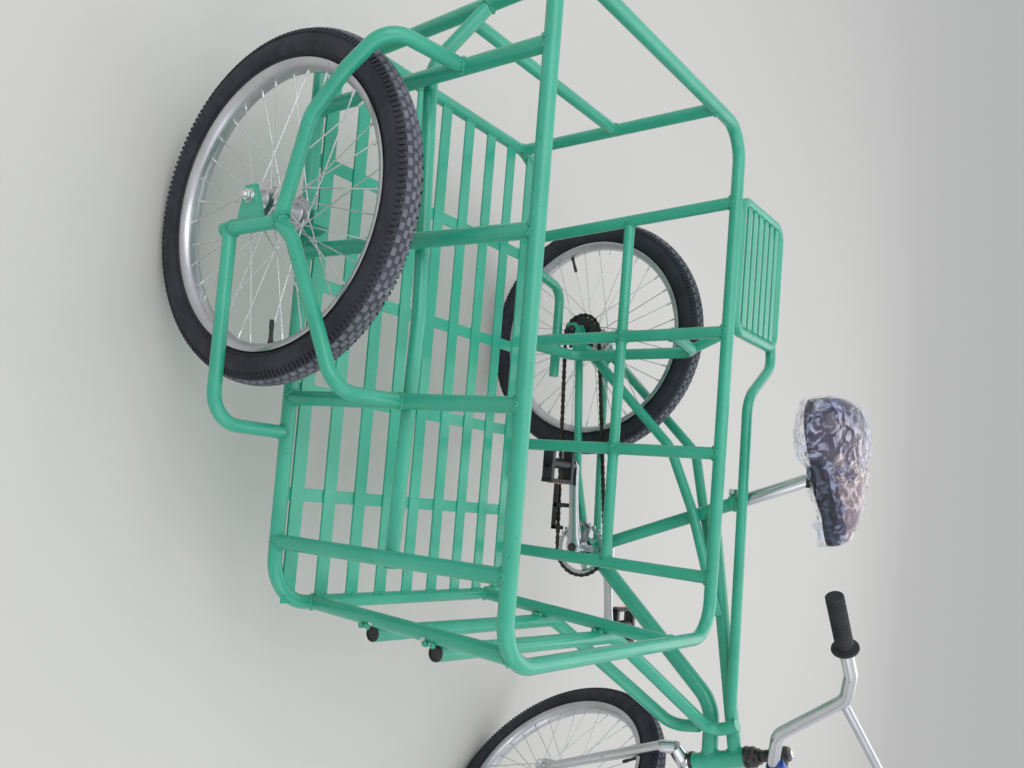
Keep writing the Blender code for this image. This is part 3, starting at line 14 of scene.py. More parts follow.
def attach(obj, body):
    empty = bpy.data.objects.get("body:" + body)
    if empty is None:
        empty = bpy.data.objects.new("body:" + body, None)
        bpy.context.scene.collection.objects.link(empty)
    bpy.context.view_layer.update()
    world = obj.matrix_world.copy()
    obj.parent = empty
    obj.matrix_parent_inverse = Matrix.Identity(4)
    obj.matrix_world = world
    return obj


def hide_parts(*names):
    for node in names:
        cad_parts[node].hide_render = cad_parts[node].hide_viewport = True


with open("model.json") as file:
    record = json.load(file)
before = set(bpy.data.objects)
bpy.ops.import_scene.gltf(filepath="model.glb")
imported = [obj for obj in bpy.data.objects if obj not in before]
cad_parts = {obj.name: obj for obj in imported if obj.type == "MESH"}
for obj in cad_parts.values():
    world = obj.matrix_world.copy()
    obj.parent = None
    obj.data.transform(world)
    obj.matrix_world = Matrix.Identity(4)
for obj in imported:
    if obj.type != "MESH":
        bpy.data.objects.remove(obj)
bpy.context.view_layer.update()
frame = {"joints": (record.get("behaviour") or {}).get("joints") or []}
JOINTS = {joint["name"]: joint for joint in frame["joints"]}


def joint_place(name):
    return Vector(JOINTS[name]["pos_m"])


TYRE_R = 0.256
RIM_R = 0.2095
WHEEL_TOP = Vector((0.0, 0.0, TYRE_R))
SHIFT = joint_place("rear_wheel_spin") - WHEEL_TOP
ACROSS = Vector((0.0, 1.0, 0.0))
UP = Vector((0.0, 0.0, 1.0))
FORWARD = Vector((1.0, 0.0, 0.0))

# Steering: everything on it is built pointing straight ahead and then turned as it is parked
HEAD_ANGLE = radians(73)
HEAD = Vector((0.832, 0.0, 0.61))
HEAD_AXIS = Vector((-cos(HEAD_ANGLE), 0.0, sin(HEAD_ANGLE)))
HEAD_OUT = Vector((sin(HEAD_ANGLE), 0.0, cos(HEAD_ANGLE)))
PARKED = Matrix.Rotation(radians(-50), 3, HEAD_AXIS)
BRACKET = Vector((0.456, 0.0, 0.292))


def at(point):
    return Vector(point) + SHIFT


def parked(point):
    return HEAD + PARKED @ (Vector(point) - HEAD) + SHIFT


def unparked(point):
    return HEAD + PARKED.inverted() @ (Vector(point) - SHIFT - HEAD)


def head_point(up, ahead=0.0, left=0.0):
    return HEAD + HEAD_AXIS * up + HEAD_OUT * ahead + ACROSS * left


FRONT_HUB = unparked(joint_place("front_wheel_spin"))


# Camera, light and floor

CAMERA_PLACE = (0.3821, -1.767, 1.2902)
CAMERA_AZIMUTH, CAMERA_PITCH, CAMERA_ROLL = -0.0787, 0.6267, 0.0351
FOCAL_PIXELS, FRAME_PIXELS, SENSOR = 938.12, 1024, 36.0
SHIFT_PIXELS = (20.32, 60.93)


def add_camera():
    az, pitch, roll = CAMERA_AZIMUTH, CAMERA_PITCH, CAMERA_ROLL
    forward = Vector((sin(az) * cos(pitch), cos(az) * cos(pitch), -sin(pitch)))
    right = Vector((cos(az), -sin(az), 0.0))
    above = right.cross(forward)
    right2 = right * cos(roll) + above * sin(roll)
    above2 = above * cos(roll) - right * sin(roll)
    # The photograph lies on its side: its own X runs up the scene.
    turn = Matrix((above2, -right2, -forward)).transposed().to_4x4()
    data = bpy.data.cameras.new("photo_camera")
    data.sensor_width = SENSOR
    data.lens = FOCAL_PIXELS * SENSOR / FRAME_PIXELS
    data.shift_x = SHIFT_PIXELS[0] / FRAME_PIXELS
    data.shift_y = SHIFT_PIXELS[1] / FRAME_PIXELS
    camera = bpy.data.objects.new("photo_camera", data)
    camera.matrix_world = Matrix.Translation(at(CAMERA_PLACE)) @ turn
    bpy.context.scene.collection.objects.link(camera)
    bpy.context.scene.camera = camera


# Soft studio lamps: name, place, side of the square in metres, power in watts
LAMPS = (("key", (-1.4, -2.6, 3.2), 2.6, 34.0),
         ("fill", (2.8, -1.6, 2.4), 2.8, 20.0),
         ("back", (0.6, 2.8, 2.6), 2.8, 24.0),
         ("top", (0.2, -0.4, 3.6), 3.0, 20.0))
LAMP_TARGET = (0.15, -0.35, 0.35)
WORLD_TONE, WORLD_STRENGTH = (0.82, 0.85, 0.88, 1.0), 0.9
FLOOR_TONE, FLOOR_ROUGHNESS, FLOOR_REACH = (0.6, 0.585, 0.56, 1.0), 0.85, 14.0


def add_lamps():
    for name, place, side, power in LAMPS:
        data = bpy.data.lights.new(name, "AREA")
        data.size = side
        data.energy = power
        lamp = bpy.data.objects.new(name, data)
        lamp.location = at(place)
        lamp.rotation_euler = (Vector(LAMP_TARGET) - Vector(place)).to_track_quat("-Z", "Y").to_euler()
        bpy.context.scene.collection.objects.link(lamp)


def add_world():
    world = bpy.data.worlds.new("studio")
    world.use_nodes = True
    background = world.node_tree.nodes["Background"]
    background.inputs["Color"].default_value = WORLD_TONE
    background.inputs["Strength"].default_value = WORLD_STRENGTH
    bpy.context.scene.world = world
    bpy.context.scene.view_settings.view_transform = "Standard"


def add_floor():
    mesh = bpy.data.meshes.new("floor")
    corners = [(x * FLOOR_REACH, y * FLOOR_REACH, 0.0) for x, y in ((-1, -1), (1, -1), (1, 1), (-1, 1))]
    mesh.from_pydata(corners, [], [(0, 1, 2, 3)])
    floor = bpy.data.objects.new("floor", mesh)
    bpy.context.scene.collection.objects.link(floor)
    mat = bpy.data.materials.new("pale_floor")
    mat.use_nodes = True
    shader = mat.node_tree.nodes["Principled BSDF"]
    shader.inputs["Base Color"].default_value = FLOOR_TONE
    shader.inputs["Roughness"].default_value = FLOOR_ROUGHNESS
    mesh.materials.append(mat)


# Materials

COAT_ROUGHNESS, GLOSS_SPREAD, BUMP_STRENGTH = 0.12, 0.12, 0.6
# Levels of the noise between which the two tones, the gloss and the edge of a spot run
TONE_LEVELS, GLOSS_LEVELS, SPOT_EDGE = (0.32, 0.68), (0.3, 0.7), 0.05


def new_node(tree, kind, **inputs):
    """A shader node with its inputs set; an underscore stands for the space in an input's name."""
    node = tree.nodes.new("ShaderNode" + kind)
    for name, value in inputs.items():
        node.inputs[name.replace("_", " ")].default_value = value
    return node


def cloud(tree, where, **inputs):
    """Noise at the given coordinates."""
    node = new_node(tree, "TexNoise", **inputs)
    tree.links.new(where, node.inputs["Vector"])
    return node.outputs["Fac"]


def span(tree, source, low, high, to_low, to_high):
    """A value moved from one range to another."""
    node = new_node(tree, "MapRange", From_Min=low, From_Max=high, To_Min=to_low, To_Max=to_high)
    tree.links.new(source, node.inputs["Value"])
    return node.outputs["Result"]


def mixed(tree, factor, first, last):
    """Two colours mixed by a factor, each of them a tuple or a socket."""
    node = tree.nodes.new("ShaderNodeMix")
    node.data_type = "RGBA"
    tree.links.new(factor, node.inputs["Factor"])
    for name, value in (("A", first), ("B", last)):
        socket = next(s for s in node.inputs if s.name == name and s.type == "RGBA")
        if isinstance(value, tuple):
            socket.default_value = (*value, 1.0)
        else:
            tree.links.new(value, socket)
    return next(s for s in node.outputs if s.type == "RGBA")


def material(name, tone, second, rough, metallic=0.0, grain=6.0, spots=None, bump=0.0, bump_grain=200.0,
             coat=0.0):
    """A surface of two tones mixed by noise, with uneven gloss, optional spots and a fine bump.

    spots holds their tone, their grain and the level of the noise where they start.
    """
    mat = bpy.data.materials.new(name)
    mat.use_nodes = True
    tree = mat.node_tree
    shader = tree.nodes["Principled BSDF"]
    shader.inputs["Metallic"].default_value = metallic
    shader.inputs["Coat Weight"].default_value = coat
    shader.inputs["Coat Roughness"].default_value = COAT_ROUGHNESS
    where = tree.nodes.new("ShaderNodeTexCoord").outputs["Object"]
    base = cloud(tree, where, Scale=grain, Detail=6.0)
    colour = mixed(tree, span(tree, base, *TONE_LEVELS, 0.0, 1.0), tone, second)
    if spots:
        spot_tone, spot_grain, edge = spots
        speck = cloud(tree, where, Scale=spot_grain, Detail=3.0)
        colour = mixed(tree, span(tree, speck, edge, edge + SPOT_EDGE, 0.0, 1.0), colour, spot_tone)
    tree.links.new(colour, shader.inputs["Base Color"])
    gloss = cloud(tree, where, Scale=grain * 3.0, Detail=4.0)
    smoothest, roughest = rough * (1.0 - GLOSS_SPREAD), min(1.0, rough * (1.0 + GLOSS_SPREAD * 2))
    tree.links.new(span(tree, gloss, *GLOSS_LEVELS, smoothest, roughest), shader.inputs["Roughness"])
    if bump:
        fine = cloud(tree, where, Scale=bump_grain, Detail=3.0)
        node = new_node(tree, "Bump", Strength=BUMP_STRENGTH, Distance=bump)
        tree.links.new(fine, node.inputs["Height"])
        tree.links.new(node.outputs["Normal"], shader.inputs["Normal"])
    return mat


PAINT = material("green_enamel", (0.02, 0.325, 0.205), (0.035, 0.4, 0.262), 0.3, grain=9.0, coat=0.35,
                 spots=((0.012, 0.22, 0.14), 150.0, 0.7), bump=0.0006, bump_grain=70.0)
BEAD = material("painted_weld", (0.017, 0.285, 0.178), (0.03, 0.37, 0.235), 0.38, grain=60.0, coat=0.25,
                bump=0.0006, bump_grain=300.0)
BARE_WELD = material("bare_weld", (0.42, 0.47, 0.45), (0.62, 0.66, 0.64), 0.45, metallic=0.5, grain=90.0,
                     bump=0.0006, bump_grain=350.0)
CHROME = material("bright_chrome", (0.52, 0.53, 0.56), (0.66, 0.67, 0.69), 0.18, metallic=1.0, grain=8.0,
                  spots=((0.3, 0.24, 0.19), 90.0, 0.7))
ALLOY = material("rim_metal", (0.47, 0.47, 0.49), (0.6, 0.6, 0.62), 0.3, metallic=1.0, grain=14.0,
                 spots=((0.33, 0.3, 0.27), 120.0, 0.7))
SPOKE = material("spoke_steel", (0.66, 0.67, 0.68), (0.78, 0.78, 0.79), 0.24, metallic=1.0, grain=30.0)
DARK = material("dark_steel", (0.045, 0.045, 0.05), (0.11, 0.105, 0.1), 0.42, metallic=0.9, grain=70.0,
                spots=((0.1, 0.055, 0.03), 150.0, 0.64))
CHAIN = material("oiled_chain", (0.035, 0.033, 0.032), (0.1, 0.085, 0.07), 0.36, metallic=0.9, grain=160.0)
RUBBER = material("tyre_rubber", (0.011, 0.012, 0.018), (0.024, 0.026, 0.036), 0.66, grain=20.0, bump=0.0004,
                  bump_grain=500.0)
TREAD = material("tread_rubber", (0.11, 0.113, 0.14), (0.19, 0.192, 0.225), 0.8, grain=45.0, bump=0.0005,
                 bump_grain=600.0)
GROOVE = material("tread_groove", (0.05, 0.052, 0.066), (0.092, 0.094, 0.116), 0.85, grain=60.0, bump=0.0005,
                  bump_grain=500.0)
GRIP = material("grip_rubber", (0.01, 0.01, 0.011), (0.022, 0.022, 0.024), 0.55, grain=40.0, bump=0.0003,
                bump_grain=600.0)
PLASTIC = material("black_plastic", (0.012, 0.012, 0.013), (0.028, 0.028, 0.03), 0.42, grain=30.0,
                   bump=0.0002, bump_grain=900.0)
SADDLE = material("saddle_cover", (0.022, 0.015, 0.036), (0.06, 0.038, 0.078), 0.34, grain=16.0, coat=0.4,
                  bump=0.0006, bump_grain=260.0)
# Painted shade: a near-black tone for the lower side and the underside of the nose, where shade falls
SADDLE_PAINTED_SHADE = material("saddle_painted_shade", (0.008, 0.008, 0.014), (0.018, 0.017, 0.028), 0.38, grain=30.0,
                       bump=0.0004, bump_grain=300.0)

# Stretch and levels of the noise that draws the film's streaks of painted highlight
FILM_STRETCH, FILM_LEVELS = (22.0, 44.0, 36.0), (0.47, 0.64)


def clear_film(name, tone, second, clearest, most_highlight_alpha):
    """Crinkled wrapping film, clear but for streaks drawn out along it; the streaks and their two tones are
    painted highlights and reflections of the crinkles.
    """
    mat = material(name, tone, second, 0.12, grain=13.0, coat=0.5, bump=0.0014, bump_grain=50.0)
    tree = mat.node_tree
    where = tree.nodes.new("ShaderNodeTexCoord")
    stretch = new_node(tree, "Mapping", Scale=FILM_STRETCH)
    tree.links.new(where.outputs["Object"], stretch.inputs["Vector"])
    streak = cloud(tree, stretch.outputs["Vector"], Scale=1.0, Detail=4.0, Distortion=2.2)
    painted_highlight = span(tree, streak, *FILM_LEVELS, clearest, most_highlight_alpha)
    tree.links.new(painted_highlight, tree.nodes["Principled BSDF"].inputs["Alpha"])
    return mat


# The bluish and pale tones of the film are painted reflections and highlights
FILM = clear_film("clear_film", (0.36, 0.46, 0.84), (0.84, 0.76, 0.82), 0.05, 0.62)
# Nearly clear film over the band of painted shade under the nose, so that the painted shade shows through
FILM_OVER_SHADE = clear_film("clear_film_over_painted_shade", (0.36, 0.46, 0.84), (0.6, 0.6, 0.8), 0.02, 0.16)
# Painted highlight: a pale peach film tone over the nose's top, where light falls
FILM_NOSE_HIGHLIGHT = clear_film("film_nose_painted_highlight", (0.72, 0.57, 0.66), (0.96, 0.8, 0.78), 0.26, 0.84)
BLUE = material("blue_clamp", (0.01, 0.06, 0.3), (0.02, 0.11, 0.46), 0.28, metallic=0.4, grain=60.0,
                coat=0.4)
RED = material("red_reflector", (0.42, 0.01, 0.01), (0.62, 0.03, 0.02), 0.12, grain=200.0, coat=1.0,
               bump=0.0008, bump_grain=800.0)
AMBER = material("amber_reflector", (0.75, 0.18, 0.01), (0.85, 0.3, 0.02), 0.12, grain=200.0, coat=1.0,
                 bump=0.0008, bump_grain=800.0)


# Building shapes

def basis(axis):
    axis = Vector(axis).normalized()
    side = axis.cross(UP)
    if side.length < 0.1:
        side = axis.cross(ACROSS)
    side.normalize()
    return side, axis.cross(side), axis


# Half of the least bend that gets an arc, and the largest share of a run that an arc takes up
NEARLY_STRAIGHT, MOST_OF_A_RUN = 0.01, 0.49


def rounded(points, radius, closed=False, steps=10):
    """A polyline with each corner replaced by an arc that is tangent to both of its runs."""
    points = [Vector(p) for p in points]
    count = len(points)
    path = []
    for i, corner in enumerate(points):
        if not closed and i in (0, count - 1):
            path.append(corner)
            continue
        back = points[i - 1] - corner
        ahead = points[(i + 1) % count] - corner
        half = back.angle(ahead) / 2
        if pi / 2 - half < NEARLY_STRAIGHT:
            path.append(corner)
            continue
        longest = MOST_OF_A_RUN * min(back.length, ahead.length)
        reach = min(radius / tan(half), longest)
        first = corner + back.normalized() * reach
        bisector = (back.normalized() + ahead.normalized()).normalized()
        centre = corner + bisector * (reach / cos(half))
        arm = first - centre
        last = corner + ahead.normalized() * reach
        turn = arm.angle(last - centre)
        axis = arm.cross(last - centre).normalized()
        for k in range(steps + 1):
            path.append(centre + Matrix.Rotation(turn * k / steps, 3, axis) @ arm)
    return path


def circle(steps):
    """The cosine and sine of equal steps round a circle."""
    angles = [2 * pi * k / steps for k in range(steps)]
    return [(cos(angle), sin(angle)) for angle in angles]


def skin(rows, steps, closed=False, flipped=False):
    """Quads between rows of points; each row goes round once, and closed joins the last row to the first."""
    faces = []
    for i in range(rows if closed else rows - 1):
        a, b = i * steps, ((i + 1) % rows) * steps
        for k in range(steps):
            n = (k + 1) % steps
            faces.append((a + k, b + k, b + n, a + n) if flipped else (a + k, a + n, b + n, b + k))
    return faces


def caps(rows, steps, flipped=False):
    """The two faces that close the first and the last row."""
    first, last = range(steps), range((rows - 1) * steps, rows * steps)
    return [tuple(first), tuple(reversed(last))] if flipped else [tuple(reversed(first)), tuple(last)]


WELD_POINTS, WELD_SIDES, WELD_SIZE = 40, 8, 0.0026
# Swellings of a bead: share of its size, count round it
WELD_SWELLS = ((0.2, 13), (0.12, 5))
# Hexagon heads: radius of the end faces and height of the chamfer, as shares
HEAD_FACE, HEAD_CHAMFER = 0.86, 0.14


class Shape:
    """Collects vertices and faces in the modelling frame and makes one piece of them.

    The calls that add a form give the shape back, so that another call can follow.
    """

    def __init__(self, place=at):
        self.verts = []
        self.faces = []
        self.tones = []
        self.place = place

    def add(self, verts, faces, tone=0):
        start = len(self.verts)
        self.verts += [Vector(v) for v in verts]
        self.faces += [[start + i for i in face] for face in faces]
        self.tones += [tone] * len(faces)
        return self

    def lathe(self, profile, place, axis, steps=32, closed=False):
        """Turns (radius, height) pairs about an axis; ends away from the axis are capped unless closed."""
        side, other, axis = basis(axis)
        place = Vector(place)
        verts = []
        for radius, height in profile:
            verts += [place + axis * height + (side * c + other * s) * radius for c, s in circle(steps)]
        rows = len(profile)
        return self.add(verts, skin(rows, steps, closed) + ([] if closed else caps(rows, steps)))

    def tube(self, path, radius, sides=20, closed=False):
        """A round tube along a path; radius is one number or one for each point."""
        path = [Vector(p) for p in path]
        count = len(path)
        radii = radius if isinstance(radius, list) else [radius] * count
        tangents = []
        for i in range(count):
            before = path[i - 1] if closed or i else path[0]
            after = path[(i + 1) % count] if closed or i < count - 1 else path[-1]
            tangents.append((after - before).normalized())
        side = basis(tangents[0])[0]
        verts = []
        for point, tangent, size in zip(path, tangents, radii):
            side = (side - tangent * side.dot(tangent)).normalized()
            other = tangent.cross(side)
            verts += [point + (side * c + other * s) * size for c, s in circle(sides)]
        return self.add(verts, skin(count, sides, closed) + ([] if closed else caps(count, sides)))

    def slab(self, outline, thick, place, along, across):
        """A flat plate: (a, b) pairs along two directions, with half of its thickness to each side."""
        along, across = Vector(along), Vector(across)
        normal = along.cross(across).normalized()
        place = Vector(place)
        verts = []
        for shift in (-thick / 2, thick / 2):
            verts += [place + along * a + across * b + normal * shift for a, b in outline]
        return self.add(verts, caps(2, len(outline)) + skin(2, len(outline)))

    def block(self, place, half, along=FORWARD, across=ACROSS, taper=1.0, tone=0):
        """A block with half sizes along two directions and their normal; its far side may be tapered."""
        along, across = Vector(along), Vector(across)
        normal = along.cross(across).normalized()
        place = Vector(place)
        verts = []
        for up, scale in ((-1, 1.0), (1, taper)):
            for a, b in ((-1, -1), (1, -1), (1, 1), (-1, 1)):
                flat = place + along * a * half[0] * scale + across * b * half[1] * scale
                verts.append(flat + normal * up * half[2])
        faces = [(3, 2, 1, 0), (4, 5, 6, 7), (0, 1, 5, 4), (1, 2, 6, 5), (2, 3, 7, 6), (3, 0, 4, 7)]
        return self.add(verts, faces, tone)

    def hexagon(self, place, axis, across_flats, height):
        """A bolt's head or a nut with chamfered faces."""
        radius = across_flats / sqrt(3)
        face, step = radius * HEAD_FACE, height * HEAD_CHAMFER
        profile = [(face, 0.0), (radius, step), (radius, height - step), (face, height)]
        return self.lathe(profile, place, axis, 6)

    def weld(self, start, direction, radius, onto, along, onto_radius, size=WELD_SIZE, seed=0.0):
        """A bead where a tube ends on another one: direction points into that one, which runs along."""
        side, other, direction = basis(direction)
        along = Vector(along).normalized()
        onto, start = Vector(onto), Vector(start)
        path = []
        radii = []
        for k in range(WELD_POINTS):
            angle = 2 * pi * k / WELD_POINTS
            point = start + (side * cos(angle) + other * sin(angle)) * radius
            off = point - onto
            off -= along * off.dot(along)
            move = direction - along * direction.dot(along)
            a, b, c = move.dot(move), 2 * off.dot(move), off.dot(off) - onto_radius ** 2
            root = b * b - 4 * a * c
            slide = (-b - sqrt(root)) / (2 * a) if root > 0 else -b / (2 * a)
            path.append(point + direction * slide)
            wave = 1.0
            for i, (share, waves) in enumerate(WELD_SWELLS):
                wave += share * sin(angle * waves + seed * (i + 1))
            radii.append(size * wave)
        return self.tube(path, radii, WELD_SIDES, closed=True)

    def make(self, name, mats=PAINT, body="frame", slot="green_paint", replaces=(), sharp=38.0, bevel=0.0,
             subdivide=0):
        """The finished piece on its body, standing for the CAD nodes that it replaces."""
        mesh = bpy.data.meshes.new(name)
        mesh.from_pydata([self.place(v) for v in self.verts], [], self.faces)
        for mat in mats if isinstance(mats, list) else [mats]:
            mesh.materials.append(mat)
        for polygon, tone in zip(mesh.polygons, self.tones):
            polygon.material_index = tone
        mesh.shade_smooth()
        mesh.set_sharp_from_angle(angle=radians(sharp))
        obj = bpy.data.objects.new(name, mesh)
        bpy.context.scene.collection.objects.link(obj)
        if bevel:
            mod = obj.modifiers.new("edge", "BEVEL")
            mod.width = bevel
            mod.segments = 2
            mod.limit_method = "ANGLE"
        if subdivide:
            mod = obj.modifiers.new("smooth", "SUBSURF")
            mod.levels = subdivide
            mod.render_levels = subdivide
        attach(obj, body)
        if replaces:
            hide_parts(*replaces)
        return obj


# Basket

TUBE_R, THIN_R, ARM_R, TUBE_SIDES = 0.011, 0.01, 0.012, 22
# Loops of tube by their centre line; x runs forward from rear, y from inner to outer
RAIL = dict(rear=-0.3146, length=0.8925, inner=-0.215, outer=-0.833, z=0.6537, corner=0.06)
FLOOR = dict(rear=-0.328, length=0.8808, inner=-0.215, outer=-0.8176, z=0.2228, corner=0.07)
# Side posts from the rear: place at the top and at the foot as shares of the loops' length
OUTBOARD = ((0.133, 0.15), (0.3996, 0.3996), (0.6427, 0.6529), (0.8757, 0.8959))
INBOARD = ((0.143, 0.186), (0.404, 0.4257), (0.645, 0.662), (0.8875, 0.898))
# End posts: name, place at the top and at the foot as shares of the loops' width
REAR = (("rear_post_inboard", 0.175, 0.1), ("rear_post_outboard", 0.93, 0.84))
FRONT = (("front_post_inboard", 0.235, 0.11), ("front_post_outboard", 0.965, 0.863))
# Way of the top rail where an end post meets it inside a corner
CORNER_WAYS = {"rear_post_outboard": Vector((-0.55, 0.83, 0.0)),
               "front_post_outboard": Vector((0.62, 0.78, 0.0))}
MID_Z = 0.445
MID_SPOT_R, MID_SPOT_SHIFT = 0.005, 0.006


def on_loop(loop, share_x, share_y):
    width = loop["outer"] - loop["inner"]
    return Vector((loop["rear"] + share_x * loop["length"], loop["inner"] + share_y * width, loop["z"]))


def loop_path(loop, steps=12):
    corners = [on_loop(loop, sx, sy) for sx, sy in ((0, 0), (1, 0), (1, 1), (0, 1))]
    return rounded(corners, loop["corner"], closed=True, steps=steps)


def end_point(loop, share_y, front):
    point = on_loop(loop, 1.0 if front else 0.0, share_y)
    width = abs(loop["outer"] - loop["inner"])
    past = abs(share_y - 0.5) * width - (width / 2 - loop["corner"])
    if past > 0.0:
        inset = loop["corner"] - sqrt(loop["corner"] ** 2 - past ** 2)
        point.x += -inset if front else inset
    return point


def all_posts():
    posts = {}
    for group, rows, share in (("outboard", OUTBOARD, 1.0), ("inboard", INBOARD, 0.0)):
        for i, (top, foot) in enumerate(rows):
            posts["%s_post_%d" % (group, i + 1)] = (on_loop(RAIL, top, share), on_loop(FLOOR, foot, share))
    for rows, front in ((REAR, False), (FRONT, True)):
        for name, top, foot in rows:
            posts[name] = (end_point(RAIL, top, front), end_point(FLOOR, foot, front))
    return posts


POSTS = all_posts()


def on_post(name, z):
    top, foot = POSTS[name]
    return foot.lerp(top, (z - foot.z) / (top.z - foot.z))


def joined(end, before, radius, along, onto_radius, onto=None, back=0.04):
    """What weld needs where a tube that comes from the point before ends inside another tube."""
    end = Vector(end)
    way = (end - Vector(before)).normalized()
    return end - way * back, way, radius, end if onto is None else onto, along, onto_radius


def piece(name, path, radius, welds=(), closed=False):
    """One painted tube that stands for the CAD node of its name, with the weld beads at its ends."""
    Shape().tube(path, radius, TUBE_SIDES, closed).make(name + "_tube", replaces=(name,))
    if welds:
        beads = Shape()
        for i, weld in enumerate(welds):
            beads.weld(*weld, seed=len(name) + i * 1.7)
        beads.make(name + "_welds", BEAD)


SPOT_ROWS, SPOT_STEPS, SPOT_UNEVEN = 6, 10, 0.35


def bead_spot(shape, place, radius, seed):
    """A lump of weld: a small ball with an uneven surface."""
    verts = []
    for i in range(SPOT_ROWS + 1):
        polar = pi * i / SPOT_ROWS
        for c, s in circle(SPOT_STEPS):
            way = Vector((sin(polar) * c, sin(polar) * s, cos(polar)))
            size = radius * (1.0 + SPOT_UNEVEN * noise.noise(way * 1.8 + Vector((seed, 0.0, 0.0))))
            verts.append(Vector(place) + way * size)
    shape.add(verts, skin(SPOT_ROWS + 1, SPOT_STEPS))


def post_pieces():
    for name, (top, foot) in POSTS.items():
        along = ACROSS if name.startswith(("front", "rear")) else FORWARD
        welds = [joined(foot, top, TUBE_R, along, TUBE_R, back=0.05),
                 joined(top, foot, TUBE_R, CORNER_WAYS.get(name, along), TUBE_R, back=0.05)]
        piece(name, [foot, top], TUBE_R, welds)


def mid_rail(name, first, last):
    """A straight rail at middle height between two posts."""
    ends = [on_post(first, MID_Z), on_post(last, MID_Z)]
    welds = [joined(end, other, THIN_R, UP, TUBE_R) for end, other in (ends, reversed(ends))]
    piece(name, ends, THIN_R, welds)


def outboard_mid_rail():
    """The rail that runs past the outboard posts on their inner side, with spots of weld at each post."""
    inset = TUBE_R + THIN_R
    first, last = (on_post("outboard_post_%d" % i, MID_Z) for i in (1, 4))
    rear_end = on_post("rear_post_outboard", MID_Z + TUBE_R * 5)
    path = [rear_end, (first.x - TUBE_R * 2.5, first.y + inset, MID_Z - TUBE_R),
            ((first.x + last.x) / 2, first.y + inset, MID_Z + TUBE_R / 2),
            (last.x + TUBE_R * 1.3, last.y + inset, MID_Z - TUBE_R / 2)]
    welds = [joined(rear_end, path[1], THIN_R, UP, TUBE_R)]
    piece("outboard_mid_rail", rounded(path, TUBE_R * 6), THIN_R, welds)
    spots = Shape()
    for k in (1, 2, 3, 4):
        post = on_post("outboard_post_%d" % k, MID_Z)
        for shift, seed in ((MID_SPOT_SHIFT, k), (-MID_SPOT_SHIFT, k + 7)):
            bead_spot(spots, post + Vector((shift, TUBE_R, 0.0)), MID_SPOT_R, seed)
    spots.make("outboard_mid_rail_welds_side", BEAD)


def basket():
    piece("top_rail", loop_path(RAIL), TUBE_R, closed=True)
    post_pieces()
    for i in (1, 2, 3):
        mid_rail("inboard_mid_rail_%d" % i, "inboard_post_%d" % i, "inboard_post_%d" % (i + 1))
    mid_rail("rear_mid_rail", *[row[0] for row in REAR])
    outboard_mid_rail()


SLATS, SLAT_PITCH, SLAT_WIDTH, SLAT_THICK = 9, 0.0675, 0.025, 0.004
CROSSBARS = (0.236, 0.449, 0.636, 0.815)
SIDE_HUB = Vector((-0.0136, -0.8988, TYRE_R))
SIDE_HALF, TAB_THICK, CROSSBAR_HALF = 0.05, 0.005, 0.01
# Spots of weld at the slats' ends and beside them on the crossbars: steps along, height, radius
END_STEPS, END_UP, END_SPOT_R = (-0.008, 0.0, 0.008), 0.001, 0.0034
CROSS_STEPS, CROSS_UP, CROSS_SPOT_R = (-0.009, 0.009), -0.002, 0.003
# Outline of the lug at the axle's inner end: x from the axle, height from the axle
INNER_LUG = [(-0.018, -0.039), (0.018, -0.039), (0.018, 0.0), (0.009, 0.016), (-0.009, 0.016), (-0.018, 0.0)]


def slat_y(i):
    return FLOOR["inner"] - TUBE_R - SLAT_WIDTH - SLAT_PITCH * i


def floor_frame():
    shape = Shape()
    shape.tube(loop_path(FLOOR), TUBE_R, TUBE_SIDES, closed=True)
    z = FLOOR["z"] + TUBE_R / 2
    rear, length = FLOOR["rear"], FLOOR["length"]
    for i in range(SLATS):
        shape.block((rear + length / 2, slat_y(i), z), (length / 2, SLAT_WIDTH / 2, SLAT_THICK / 2))
    middle_y, half_wide = (FLOOR["inner"] + FLOOR["outer"]) / 2, abs(FLOOR["outer"] - FLOOR["inner"]) / 2
    for share in CROSSBARS:
        shape.block((rear + length * share, middle_y, z - SLAT_THICK * 0.75),
                    (CROSSBAR_HALF, half_wide, SLAT_THICK / 2))
    inner_face = SIDE_HUB.y + SIDE_HALF
    thick = abs(inner_face - FLOOR["outer"])
    shape.slab(INNER_LUG, thick, (SIDE_HUB.x, (inner_face + FLOOR["outer"]) / 2, TYRE_R), FORWARD, UP)
    shape.make("cargo_floor_frame", replaces=("cargo_floor",), bevel=0.0006)


def floor_welds():
    beads = Shape()
    z = FLOOR["z"] + TUBE_R / 2
    rear, length = FLOOR["rear"], FLOOR["length"]
    random.seed(4)
    for i in range(SLATS):
        for x in (rear + TUBE_R * 0.9, rear + length - TUBE_R * 0.9):
            for shift in END_STEPS:
                bead_spot(beads, (x, slat_y(i) + shift, z + END_UP), END_SPOT_R, random.random() * 9)
        for share in CROSSBARS:
            for shift in CROSS_STEPS:
                place = (rear + length * share + shift, slat_y(i) + SLAT_WIDTH / 2, z + CROSS_UP)
                bead_spot(beads, place, CROSS_SPOT_R, random.random() * 9)
    beads.make("cargo_floor_welds", BEAD)


# Guard, arms, hoop

GUARD_Y, GUARD_X, GUARD_Z = -0.955, 0.03, 0.324
GUARD_LAND_X, GUARD_BEND, GUARD_TAIL = 0.3, 0.045, 0.014
# Outline of the tab at the axle's outer end: x, height from the axle
GUARD_TAB = [(SIDE_HUB.x - 0.016, -0.012), (GUARD_X, -0.026), (GUARD_X, 0.034), (SIDE_HUB.x - 0.002, 0.017),
             (SIDE_HUB.x - 0.016, 0.01)]
